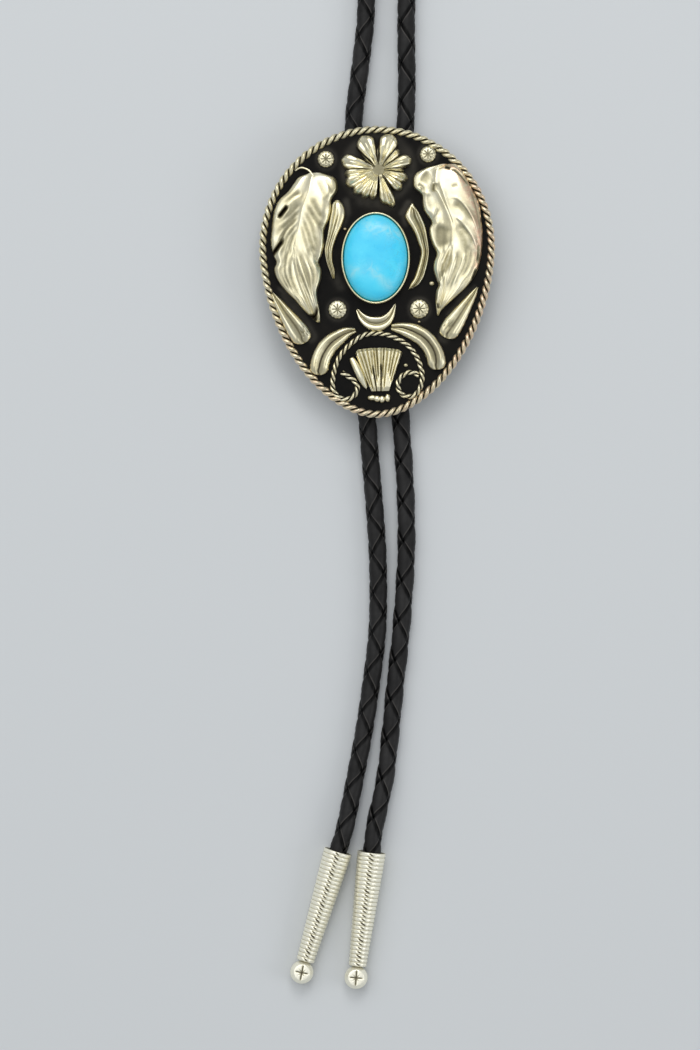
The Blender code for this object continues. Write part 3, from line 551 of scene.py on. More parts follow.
def sleeve_shell(name):
    """The sleeve, turned round its axis. Radius = taper - ridge depth x ((1 - sin(pi x phase))^3 + the cuts),
    where phase runs from 0 to 1 over each ridge, and a cut is a short slanted dip in the middle of a ridge
    with a small chip on each side."""
    mouth, direction = tip_axis(name)
    bore = CORD_RADIUS + CORD_CLEARANCE
    ridge = TIP_SLEEVE_LENGTH / TIP_RIDGES
    along = np.linspace(0, TIP_SLEEVE_LENGTH, TIP_RIDGES * ROWS_PER_RIDGE + 1)[:, None]
    azimuth = np.linspace(0, 2 * math.pi, TIP_SIDES, endpoint=False)[None]
    taper = np.interp(along, (0, TIP_SLEEVE_LENGTH), (TIP_MOUTH_DIAMETER / 2, TIP_END_DIAMETER / 2))
    phase = (along / ridge) % 1
    groove = (1 - np.sin(math.pi * phase)) ** 3
    column = 2 * math.pi / CUT_COLUMNS
    round_by = ((azimuth - math.pi / 2 + column / 2) % column - column / 2) * taper
    leaned = round_by - CUT_SLANT * (phase - 0.5) * ridge
    cut = dip(leaned, CUT_WIDTH) * dip((phase - 0.5) * ridge, CUT_LENGTH / 2)
    chip = dip(np.abs(leaned) - CHIP_OFF, CHIP_SIZE) * dip((phase - 0.75) * ridge, CHIP_SIZE)
    radius = taper - TIP_RIDGE_DEPTH * (groove + 0.9 * cut + 0.35 * chip)
    inside = [[bore] * TIP_SIDES, [bore] * TIP_SIDES, [radius[0, 0] - MOUTH_LIP] * TIP_SIDES]
    places = np.concatenate([[SOCKET_DEPTH, MOUTH_STEP, 0.0], along[:, 0]])
    radii = np.vstack([inside, radius])
    path = mouth + places[:, None] * direction
    black = np.where(np.floor(along / ridge) % BLACK_CUT_EVERY == 1, BLACK_CUT, GREY_CUT)
    hollow = np.clip(0.38 * groove + black * cut + 0.35 * chip, 0, 1)
    side = unit(np.cross((0, 0, 1.0), direction))
    up = np.cross(direction, side)
    spin = azimuth[0][:, None]
    ring = np.cos(spin) * side + np.sin(spin) * up
    rings = path[:, None] + radii[..., None] * ring[None]
    return (rings, tube_faces(*radii.shape)), np.vstack([np.full((3, TIP_SIDES), 0.6), hollow])


def ball_shell(name):
    """The ball, a grid of latitude and longitude about a line that leans with the sleeve, with its top cut a
    little flat. A long line down the middle, a shorter one across and four short cuts between are stamped in
    the flat, and the rim is scalloped."""
    mouth, direction = tip_axis(name)
    centre = mouth + direction * (TIP_SLEEVE_LENGTH + TIP_BALL_DIAMETER / 2)
    polar = np.linspace(0.02, math.pi - 0.02, BALL_ROWS)[:, None]
    azimuth = np.linspace(0, 2 * math.pi, BALL_SIDES, endpoint=False)[None]
    out = np.sin(polar) * TIP_BALL_DIAMETER / 2 + 0 * azimuth
    high = np.minimum(np.cos(polar), BALL_FACE + 0.05 * np.cos(polar)) * TIP_BALL_DIAMETER / 2 + 0 * azimuth
    turned = azimuth - 0.3 * math.radians(TIPS[name][2])
    across, forth = out * np.cos(turned), out * np.sin(turned)
    upper = polar < 1.5
    long_line = dip(across, LONG_WIDTH) * (1 - ease(out, *LONG_FADE))
    line_across = dip(forth, ACROSS_WIDTH) * (1 - ease(out, *ACROSS_FADE))
    cross = np.maximum(long_line, line_across) * upper
    short = dip(np.cos(2 * turned) / 2 * out, SHORT_WIDTH) * dip(out - SHORT_OUT, SHORT_REACH) * upper
    scallop = 0.5 - 0.5 * np.cos(SCALLOPS * azimuth)
    rim = dip(out - RIM_OUT, RIM_REACH) * upper
    high = high - CROSS_DEPTH * cross - SHORT_CUT_DEPTH * short - SCALLOP_DEPTH * rim * scallop
    lean = math.radians(TIPS[name][2])
    forward = np.array([math.sin(lean), math.cos(lean), 0])
    side = np.array([forward[1], -forward[0], 0])
    flat = out[..., None] * (np.cos(azimuth)[..., None] * side + np.sin(azimuth)[..., None] * forward)
    rings = centre + flat + high[..., None] * np.array([0, 0, 1.0])
    # The ball's lower half, from a little above its widest ring, is painted a little darker as shade
    hollow = np.clip(0.85 * cross + 0.6 * short + 0.14 * rim * scallop + 0.25 * (polar > 1.4), 0, 1)
    return (rings, tube_faces(BALL_ROWS, BALL_SIDES)), hollow


for name in TIPS:
    sleeve, sleeve_hollow = sleeve_shell(name)
    ball, ball_hollow = ball_shell(name)
    hollows = {"hollow": [sleeve_hollow, ball_hollow]}
    add_piece("ribbed_" + name, [sleeve, ball], TIP_SILVER, name, hollows)

for name, x in (("left", -CHANNEL_SPACING / 2), ("right", CHANNEL_SPACING / 2)):
    line = cords[name + "_tail_cord"][0]

# The back clip
# Two short channels of plated steel hold the cord behind the slide. A flat web joins them above, and the
# plate that a thumb presses lies below.
CHANNEL_WALL = 0.0008
CLIP_WEB = 0.0010
CLIP_HEIGHT = 2 * CLIP_CORD_RISE
CHANNEL_SIDES = 64
CHANNEL_BEVEL = 0.00015
PLATE_CORNER = 0.0004
CORNER_STEPS = 6
STEEL_GREYS = ((0.42, 0.42, 0.40), (0.66, 0.66, 0.63))


def turned_ring(centre, inner, outer, length, sides):
    """A channel: a rectangle of the wall's size with bevelled corners, turned in a circle round the cord."""
    bevel = CHANNEL_BEVEL
    y = np.array([-length / 2 + bevel, length / 2 - bevel, length / 2, length / 2,
                  length / 2 - bevel, -length / 2 + bevel, -length / 2, -length / 2])
    r = np.array([outer, outer, outer - bevel, inner + bevel, inner, inner, inner + bevel, outer - bevel])
    turn = np.linspace(0, 2 * math.pi, sides, endpoint=False)[:, None]
    x = centre[0] + r * np.cos(turn)
    z = centre[2] + r * np.sin(turn)
    rings = np.stack([x, centre[1] + y + 0 * turn, z], axis=-1)
    return rings, tube_faces(sides, len(y), closed=True)


def rounded_plate(centre, size, corner, steps):
    """A flat plate: four layers of one rounded rectangle, the top and bottom ones drawn in for the bevel."""
    turn = np.linspace(0, 2 * math.pi, 4 * steps, endpoint=False) + math.pi / (4 * steps)
    half = size[2] / 2
    bevel = 0.4 * half
    layers = [(-half, bevel), (-half + bevel, 0), (half - bevel, 0), (half, bevel)]
    rings = []
    for height, inset in layers:
        x = np.sign(np.cos(turn)) * (size[0] / 2 - corner) + np.cos(turn) * (corner - inset)
        y = np.sign(np.sin(turn)) * (size[1] / 2 - corner) + np.sin(turn) * (corner - inset)
        rings.append(np.column_stack([x, y, np.full(len(turn), height)]) + centre)
    return np.array(rings), tube_faces(4, len(turn))


def steel_finish():
    """Brushed plated steel: streaks of noise along the channels change the roughness and the height."""
    made, tree, shader = finish_of("plated_steel", Metallic=1.0)
    place = object_place(tree)
    drawn = add_node(tree, "Mapping", {"Scale": (9000.0, 300.0, 9000.0)}, {"Vector": place}).outputs[0]
    streak = add_node(tree, "TexNoise", {"Scale": 1.0, "Detail": 3.0}, {"Vector": drawn}).outputs["Fac"]
    tree.links.new(blend_colours(tree, streak, *STEEL_GREYS), shader.inputs["Base Color"])
    tree.links.new(spread_of(tree, streak, 0.3, 0.7, 0.28, 0.42), shader.inputs["Roughness"])
    bump_on(tree, shader, streak, 0.00001, 0.5)
    return made


outer = CORD_RADIUS + CORD_CLEARANCE + CHANNEL_WALL
clip_shells = [turned_ring((x, 0, CLIP_CORD_RISE), outer - CHANNEL_WALL, outer, CLIP_LENGTH, CHANNEL_SIDES)
               for x in (-CHANNEL_SPACING / 2, CHANNEL_SPACING / 2)]
for level in (CLIP_WEB / 2, CLIP_HEIGHT - CLIP_WEB / 2):
    size = (CHANNEL_SPACING, CLIP_LENGTH, CLIP_WEB)
    clip_shells.append(rounded_plate((0, 0, level), size, PLATE_CORNER, CORNER_STEPS))
add_piece("cord_clip", clip_shells, steel_finish(), "back_clip")

# The slide plate
# A flat egg of nickel silver, widest at its shoulder. Its face is blackened, so that the polished pieces
# soldered on it stand out, and its back is plain brushed metal.
SLIDE_WIDTH = 0.0496
SLIDE_HEIGHT = 0.0614
SHOULDER_SHARE = 0.173
TOP_POWER = 2.0
BOTTOM_POWER = 1.8
PLATE_THICKNESS = 0.0013
RIM_ROPE_DIAMETER = 0.0017
PLATE_BACK = CLIP_HEIGHT + CORD_CLEARANCE
PLATE_FRONT = PLATE_BACK + PLATE_THICKNESS
SOLDER_DEPTH = 0.0002
PLATE_BEVEL = 0.0002
OUTLINE_STEPS = 6000
PLATE_FLAT_SHARE = 0.985
PLATE_FRONT_RINGS, PLATE_BACK_RINGS, PLATE_SIDES = 64, 14, 320
# The blackened face from its blackest to its brownest tone, the same where polish has rubbed it, and the
# bare metal of the back from its darkest to its palest
BLACKENED = ((0.0020, 0.0019, 0.0018), (0.0075, 0.0062, 0.0045))
RUBBED_GREY = (0.060, 0.055, 0.045)
BARE_BACK = ((0.55, 0.52, 0.42), (0.75, 0.72, 0.58))
# Where polish has rubbed the black to a haze: u and v of each end of a line, then in mm its half width and
# how softly it fades, and its strength
POLISH_HAZE = [
    (-0.010, 0.700, 0.030, 0.710, 6.7, 0.80, 0.62),
    (-0.190, 0.560, 0.160, 0.545, 0.6, 0.90, 0.45),
    (-0.432, 0.766, -0.432, 0.772, 1.9, 0.45, 0.60),
    (0.430, 0.799, 0.430, 0.805, 1.8, 0.45, 0.60),
    (-0.334, -0.260, -0.334, -0.254, 2.0, 0.45, 0.60),
    (0.358, -0.256, 0.358, -0.250, 2.1, 0.45, 0.60),
    (-0.262, 0.482, -0.250, 0.400, 0.2, 0.55, 0.70),
    (-0.250, 0.400, -0.285, 0.330, 0.2, 0.50, 0.55),
    (0.264, 0.468, 0.216, 0.401, 0.2, 0.55, 0.70),
    (0.216, 0.401, 0.240, 0.330, 0.1, 0.50, 0.55),
    (-0.138, 0.490, 0.110, 0.455, 0.3, 0.90, 0.40),
    (-0.356, -0.032, -0.306, -0.099, 0.1, 0.80, 0.50),
    (-0.825, -0.113, -0.624, -0.262, 0.1, 0.35, 0.60),
    (0.825, -0.100, 0.600, -0.290, 0.1, 0.35, 0.50),
    (-0.760, -0.150, -0.560, -0.440, 0.9, 0.50, 0.45),
    (0.760, -0.150, 0.570, -0.440, 0.9, 0.50, 0.45),
]


def egg_outline(count):
    """Evenly spaced points of the egg: x = a |cos|^(2/p) and y = shoulder + b |sin|^(2/p) with their signs,
    with one power and reach above the shoulder and another below."""
    half_width = (SLIDE_WIDTH - RIM_ROPE_DIAMETER) / 2
    half_height = (SLIDE_HEIGHT - RIM_ROPE_DIAMETER) / 2
    shoulder = SHOULDER_SHARE * half_height
    turn = np.linspace(0, 2 * math.pi, OUTLINE_STEPS)
    upper = turn <= math.pi
    power = np.where(upper, 2 / TOP_POWER, 2 / BOTTOM_POWER)
    reach = np.where(upper, half_height - shoulder, half_height + shoulder)
    x = half_width * np.sign(np.cos(turn)) * np.abs(np.cos(turn)) ** power
    y = shoulder + reach * np.sign(np.sin(turn)) * np.abs(np.sin(turn)) ** power
    outline = np.column_stack([x, y])
    travelled = distances(outline)
    even = np.linspace(0, travelled[-1], count, endpoint=False)
    return np.column_stack([np.interp(even, travelled, column) for column in outline.T])


def on_slide(u, v):
    """A place on the slide from its shares of half the width and height."""
    return np.stack([np.asarray(u) * SLIDE_WIDTH / 2, np.asarray(v) * SLIDE_HEIGHT / 2], axis=-1)


def line_distance(grid, start, end):
    """Each point's distance, seen from above, to the straight line between two places."""
    start, end = np.array(start), np.array(end)
    run = end - start
    share = np.clip(((grid[..., :2] - start) @ run) / (run @ run), 0, 1)
    return np.linalg.norm(grid[..., :2] - start - share[..., None] * run, axis=-1)


def blackened_finish():
    """Liver black on silver: near black with faint brown bloom, rubbed to a grey haze beside the ornaments,
    and plain brushed metal below the face."""
    made, tree, shader = finish_of("blackened_silver", Specular_IOR_Level=0.08)
    place = object_place(tree)
    height = add_node(tree, "SeparateXYZ", {}, {0: place}).outputs["Z"]
    front = spread_of(tree, height, PLATE_FRONT - 0.0003, PLATE_FRONT - 0.0001)
    bloom = place_effect(tree, GRAIN, {"Scale": 260.0})
    fine = place_effect(tree, GRAIN, {"Scale": 2600.0})
    tone = spread_of(tree, bloom["Tone"], -0.2, 0.3)
    black = blend_colours(tree, tone, *BLACKENED)
    rubbed = product(tree, attribute(tree, "haze"), spread_of(tree, bloom["Tone"], -0.25, 0.20, 0.35, 1.0))
    black = blend_colours(tree, rubbed, black, RUBBED_GREY)
    bare = blend_colours(tree, fine["Tone"], *BARE_BACK)
    tree.links.new(blend_colours(tree, front, bare, black), shader.inputs["Base Color"])
    tree.links.new(spread_of(tree, front, 0, 1, 1.0, 0.0), shader.inputs["Metallic"])
    tree.links.new(spread_of(tree, bloom["Tone"], -0.3, 0.3, 0.50, 0.38), shader.inputs["Roughness"])
    bump_on(tree, shader, fine["Height"], 0.00002, 0.35)
    return made


outline = egg_outline(PLATE_SIDES)
layers = [(share, PLATE_FRONT) for share in np.linspace(0.02, PLATE_FLAT_SHARE, PLATE_FRONT_RINGS)]
layers += [(1.0, PLATE_FRONT - PLATE_BEVEL), (1.0, PLATE_BACK + PLATE_BEVEL)]
layers += [(share, PLATE_BACK) for share in np.linspace(PLATE_FLAT_SHARE, 0.03, PLATE_BACK_RINGS)]
plate_rings = np.array([np.column_stack([outline * share, np.full(PLATE_SIDES, z)]) for share, z in layers])
haze = np.zeros(plate_rings.shape[:2])
for u0, v0, u1, v1, reach, fade, strength in POLISH_HAZE:
    gap = line_distance(plate_rings, on_slide(u0, v0), on_slide(u1, v1))
    beyond = np.clip(gap - 0.001 * reach, 0, None)
    haze = np.maximum(haze, strength * dip(beyond, 0.001 * fade))
add_piece("slide_plate", [(plate_rings, tube_faces(*plate_rings.shape[:2]))], blackened_finish(),
          "silver_slide", {"haze": [haze]})

# The rope wire round the edge
# Two round wires twisted together and soldered along the plate's edge. The polish has left them pale on
# top and brown in the seams, and a little pink where the solder has flashed.
RIM_LOBES = 96
STATIONS_PER_LOBE = 9
WIRE_SIDES = 16
WIRE_SHARE = 0.255


def add_soldered(name, parts, material, flash=None):
    """A piece of the slide's soldered metal from shells, each with its hollow values, and its flashes."""
    attributes = {"hollow": [hollow for shell, hollow in parts]}
    if flash is not None:
        attributes["flash"] = flash
    add_piece(name, [shell for shell, hollow in parts], material, "silver_slide", attributes)


def rope_parts(path, diameter, turns, closed):
    """Two wires that turn round each other: each one's middle is the path plus an offset that turns
    left-handed as it goes along, and each is a circle carried along that middle line. The seam's depth is
    how far a point faces the rope's own middle, and a dull olive painted reflection lies along each wire's
    crown where it is highest."""
    travelled = np.arange(len(path)) / (len(path) if closed else len(path) - 1)
    parts = []
    spin = np.linspace(0, 2 * math.pi, WIRE_SIDES, endpoint=False)
    for strand in (0, math.pi):
        angle = -2 * math.pi * turns * travelled + strand
        offset = np.full((len(path), 1), diameter * (0.5 - WIRE_SHARE))
        middle = carry(path, offset, angle[:, None], closed=closed)[:, 0]
        lift = unit(middle - path)
        radius = np.full((len(path), WIRE_SIDES), diameter * WIRE_SHARE)
        rings = carry(middle, radius, spin[None], lift, closed)
        inward = (1 - np.sin(spin)) / 2
        # Crown: a dull olive reflection painted along the top of each wire
        crown = dip(np.cos(spin), 0.38) * (np.sin(spin) > 0) * dip(1 - np.sin(angle), 0.30)[:, None]
        hollow = 1.25 * ease(inward, 0.36, 0.70) + 0.42 * crown
        parts.append(((rings, tube_faces(*rings.shape[:2], closed=closed)), hollow))
    return parts


rim_count = RIM_LOBES * STATIONS_PER_LOBE
rim_path = np.column_stack([egg_outline(rim_count), np.full(rim_count, PLATE_FRONT)])
rim_parts = rope_parts(rim_path, RIM_ROPE_DIAMETER, RIM_LOBES // 2, closed=True)
# Solder has flashed pink down the right side and round the bottom, in patches
rim_share = np.arange(rim_count) / rim_count
rim_flash = 0.95 * ease(rim_path[:, 0], 0.012, 0.023) + 0.70 * ease(-rim_path[:, 1], -0.002, 0.018)
rim_flash *= 0.75 + 0.25 * np.sin(2 * math.pi * 23 * rim_share) * np.sin(2 * math.pi * 9 * rim_share)
rim_flash = np.repeat(np.clip(rim_flash, 0, 0.9), WIRE_SIDES)
ROPE_SILVER = silver_finish("rope_silver", 0.64, 500.0, whiten=0.12, metallic=0.9)
add_soldered("rim_rope", rim_parts, ROPE_SILVER, [rim_flash, rim_flash])

# The bezel and the stone
# A thin strip of silver is bent round the stone, soldered upright on the plate and burnished over the
# stone's edge. The stone is a low oval cabochon of sky blue turquoise with faint pale clouds.
STONE_WIDTH = 0.0135
STONE_LENGTH = 0.0183
STONE_HEIGHT = 0.0042
STONE_PLACE = (-0.013, 0.093)
DOME_POWERS = (3.2, 0.303)
OVAL_SIDES = 128
STONE_RINGS = 40
BEZEL_REACH = 0.00045
BEZEL_TARNISH = 0.1
SKY_BLUES = ((0.048, 0.60, 0.90), (0.095, 0.72, 0.95))
CLOUD_BLUE = (0.29, 0.72, 0.83)
MATRIX_BLUE = (0.10, 0.40, 0.52)
# Pale clouds in the stone: u and v of each end, and width in metres
STONE_CLOUDS = [
    (-0.071, 0.306, 0.163, 0.265, 0.0016),
    (-0.222, -0.005, -0.071, 0.029, 0.0011),
    (-0.071, 0.029, 0.096, -0.099, 0.0010),
]


def oval_rings(rows):
    """Rings of the stone's oval: each row gives a share of its size, a distance outward and a height."""
    turn = np.linspace(0, 2 * math.pi, OVAL_SIDES, endpoint=False)
    centre = on_slide(*STONE_PLACE)
    share, grow, z = (np.array(column)[:, None] for column in zip(*rows))
    x = centre[0] + (STONE_WIDTH / 2 * share + grow) * np.cos(turn)
    y = centre[1] + (STONE_LENGTH / 2 * share + grow) * np.sin(turn)
    return np.stack([x, y, z + 0 * turn], axis=-1)


def turquoise_finish():
    """Sky blue stone under a polish: soft pale clouds, faint mottling, and thin darker lines of matrix that
    show on its right side."""
    sockets = {"Coat_Weight": 0.12, "Coat_Roughness": 0.2, "Specular_IOR_Level": 0.35}
    made, tree, shader = finish_of("turquoise", **sockets)
    place = object_place(tree)
    mottle_look = {"Scale": 190.0, "Detail": 5.0, "Distortion": 0.6}
    drift_look = {"Scale": 420.0, "Detail": 6.0, "Distortion": 1.5}
    mottle = add_node(tree, "TexNoise", mottle_look, {"Vector": place}).outputs["Fac"]
    drift = add_node(tree, "TexNoise", drift_look, {"Vector": place}).outputs["Fac"]
    blue = blend_colours(tree, spread_of(tree, mottle, 0.36, 0.66), *SKY_BLUES)
    pale = product(tree, attribute(tree, "cloud"), spread_of(tree, drift, 0.40, 0.60, 0.20, 0.85))
    blue = blend_colours(tree, pale, blue, CLOUD_BLUE)
    thin = add_node(tree, "Math", {1: 0.5}, {0: drift}, operation="SUBTRACT").outputs[0]
    thin = add_node(tree, "Math", {}, {0: thin}, operation="ABSOLUTE").outputs[0]
    line = spread_of(tree, thin, 0.0, 0.018, 1.0, 0.0)
    right = add_node(tree, "SeparateXYZ", {}, {0: place}).outputs["X"]
    line = product(tree, line, spread_of(tree, right, 0.000, 0.004, 0.0, 0.45))
    tree.links.new(blend_colours(tree, line, blue, MATRIX_BLUE), shader.inputs["Base Color"])
    tree.links.new(spread_of(tree, drift, 0.3, 0.7, 0.26, 0.36), shader.inputs["Roughness"])
    bump_on(tree, shader, drift, 0.00004, 0.25)
    return made


stone_base = PLATE_FRONT + CORD_CLEARANCE
edge_share = 1 - np.linspace(1, 0, STONE_RINGS) ** 2.2
dome = [(max(share, 0.01), 0.0, stone_base + STONE_HEIGHT * (1 - share ** DOME_POWERS[0]) ** DOME_POWERS[1])
        for share in edge_share[::-1]]
stone_rings = oval_rings([(1.0, 0.0, stone_base)] + dome[1:])
clouds = np.maximum.reduce([dip(line_distance(stone_rings, on_slide(u0, v0), on_slide(u1, v1)), width)
                            for u0, v0, u1, v1, width in STONE_CLOUDS])
add_piece("turquoise_stone", [(stone_rings, tube_faces(*stone_rings.shape[:2]))], turquoise_finish(),
          "turquoise_cabochon", {"cloud": [clouds]})

# Round the bezel's wall: share of the stone's size, share of the bezel's reach, and of the stone's height
BEZEL_WALL = [
    (1.0, 1.0, -0.12),
    (1.0, 1.0, 0.40),
    (1.0, 0.97, 0.46),
    (1.0, 0.80, 0.495),
    (1.0, 0.50, 0.505),
    (1.0, 0.22, 0.49),
    (1.0, 0.10, 0.45),
    (1.0, 0.12, 0.10),
    (1.0, 0.12, -0.12),
]
bezel_rows = [(share, reach * BEZEL_REACH, stone_base + level * STONE_HEIGHT)
              for share, reach, level in BEZEL_WALL]
bezel_rings = oval_rings(bezel_rows).transpose(1, 0, 2)
bezel_shell = (bezel_rings, tube_faces(*bezel_rings.shape[:2], closed=True))
bezel_part = (bezel_shell, np.full(bezel_rings.shape[:2], BEZEL_TARNISH))
add_soldered("stone_bezel", [bezel_part], silver_finish("bezel_silver", 0.70, 600.0))

# The leaves
# Two curled leaves are pressed from sheet silver over a form, chased with folds that leave the vein and
# run down and outward, and soldered on so that they stand proud. Black stays in the folds and slots.
LEAF_RISE = 0.0027
LEAF_ROWS, LEAF_COLUMNS = 200, 120
WIDE_SIDE = 1.9
# Rows from stem to point: v, left edge u, vein u, right edge u, rise, as shares
LEFT_LEAF = [
    (0.675, -0.576, -0.542, -0.466, 0.45),
    (0.645, -0.661, -0.551, -0.364, 0.70),
    (0.600, -0.705, -0.565, -0.335, 0.85),
    (0.545, -0.755, -0.578, -0.340, 0.95),
    (0.490, -0.826, -0.604, -0.386, 1.00),
    (0.425, -0.864, -0.631, -0.390, 1.00),
    (0.355, -0.881, -0.648, -0.411, 0.95),
    (0.285, -0.890, -0.665, -0.445, 0.95),
    (0.200, -0.898, -0.686, -0.445, 0.95),
    (0.110, -0.877, -0.695, -0.470, 0.90),
    (0.065, -0.852, -0.695, -0.492, 0.90),
    (0.015, -0.869, -0.691, -0.470, 0.95),
    (-0.055, -0.843, -0.665, -0.475, 0.95),
    (-0.130, -0.775, -0.627, -0.504, 0.95),
    (-0.190, -0.699, -0.593, -0.500, 0.95),
    (-0.260, -0.623, -0.555, -0.487, 0.80),
    (-0.315, -0.551, -0.521, -0.479, 0.55),
    (-0.345, -0.508, -0.496, -0.483, 0.35),
]
RIGHT_LEAF = [
    (0.735, 0.534, 0.590, 0.669, 0.45),
    (0.705, 0.398, 0.517, 0.703, 0.70),
    (0.665, 0.318, 0.500, 0.737, 0.85),
    (0.615, 0.303, 0.496, 0.771, 0.95),
    (0.570, 0.314, 0.500, 0.797, 1.00),
    (0.525, 0.373, 0.525, 0.826, 1.00),
    (0.475, 0.380, 0.559, 0.856, 1.00),
    (0.415, 0.398, 0.602, 0.873, 1.00),
    (0.340, 0.458, 0.636, 0.881, 1.00),
    (0.290, 0.441, 0.653, 0.890, 1.00),
    (0.205, 0.458, 0.648, 0.890, 1.00),
    (0.125, 0.500, 0.610, 0.881, 0.95),
    (0.075, 0.483, 0.585, 0.869, 0.95),
    (0.020, 0.475, 0.572, 0.852, 0.95),
    (-0.035, 0.492, 0.574, 0.822, 0.95),
    (-0.090, 0.517, 0.572, 0.771, 0.90),
    (-0.135, 0.497, 0.564, 0.716, 0.85),
    (-0.200, 0.493, 0.542, 0.627, 0.75),
    (-0.260, 0.500, 0.525, 0.547, 0.50),
    (-0.298, 0.508, 0.514, 0.521, 0.35),
]
# Across a leaf: share of the way from the vein to the edge, and height share
LEAF_SECTION = [(0.0, 0.74), (0.25, 0.90), (0.65, 1.00), (0.90, 0.84), (1.0, 0.62)]
# Fine streaks: count, spread at the stem and spread at the point
LEAF_STREAKS = {"left_leaf": (14.0, 3.0, 6.0), "right_leaf": (11.0, 2.4, 5.0)}
STREAK_DEPTH = 0.00006
LEAST_RISE = 0.0002
LINE_POINTS = 16
STEM_RADIUS = 0.00026
STEM_LOW = 0.0008
STEM_POINTS, STEM_SIDES = 40, 12
STEM_TARNISH = 0.05
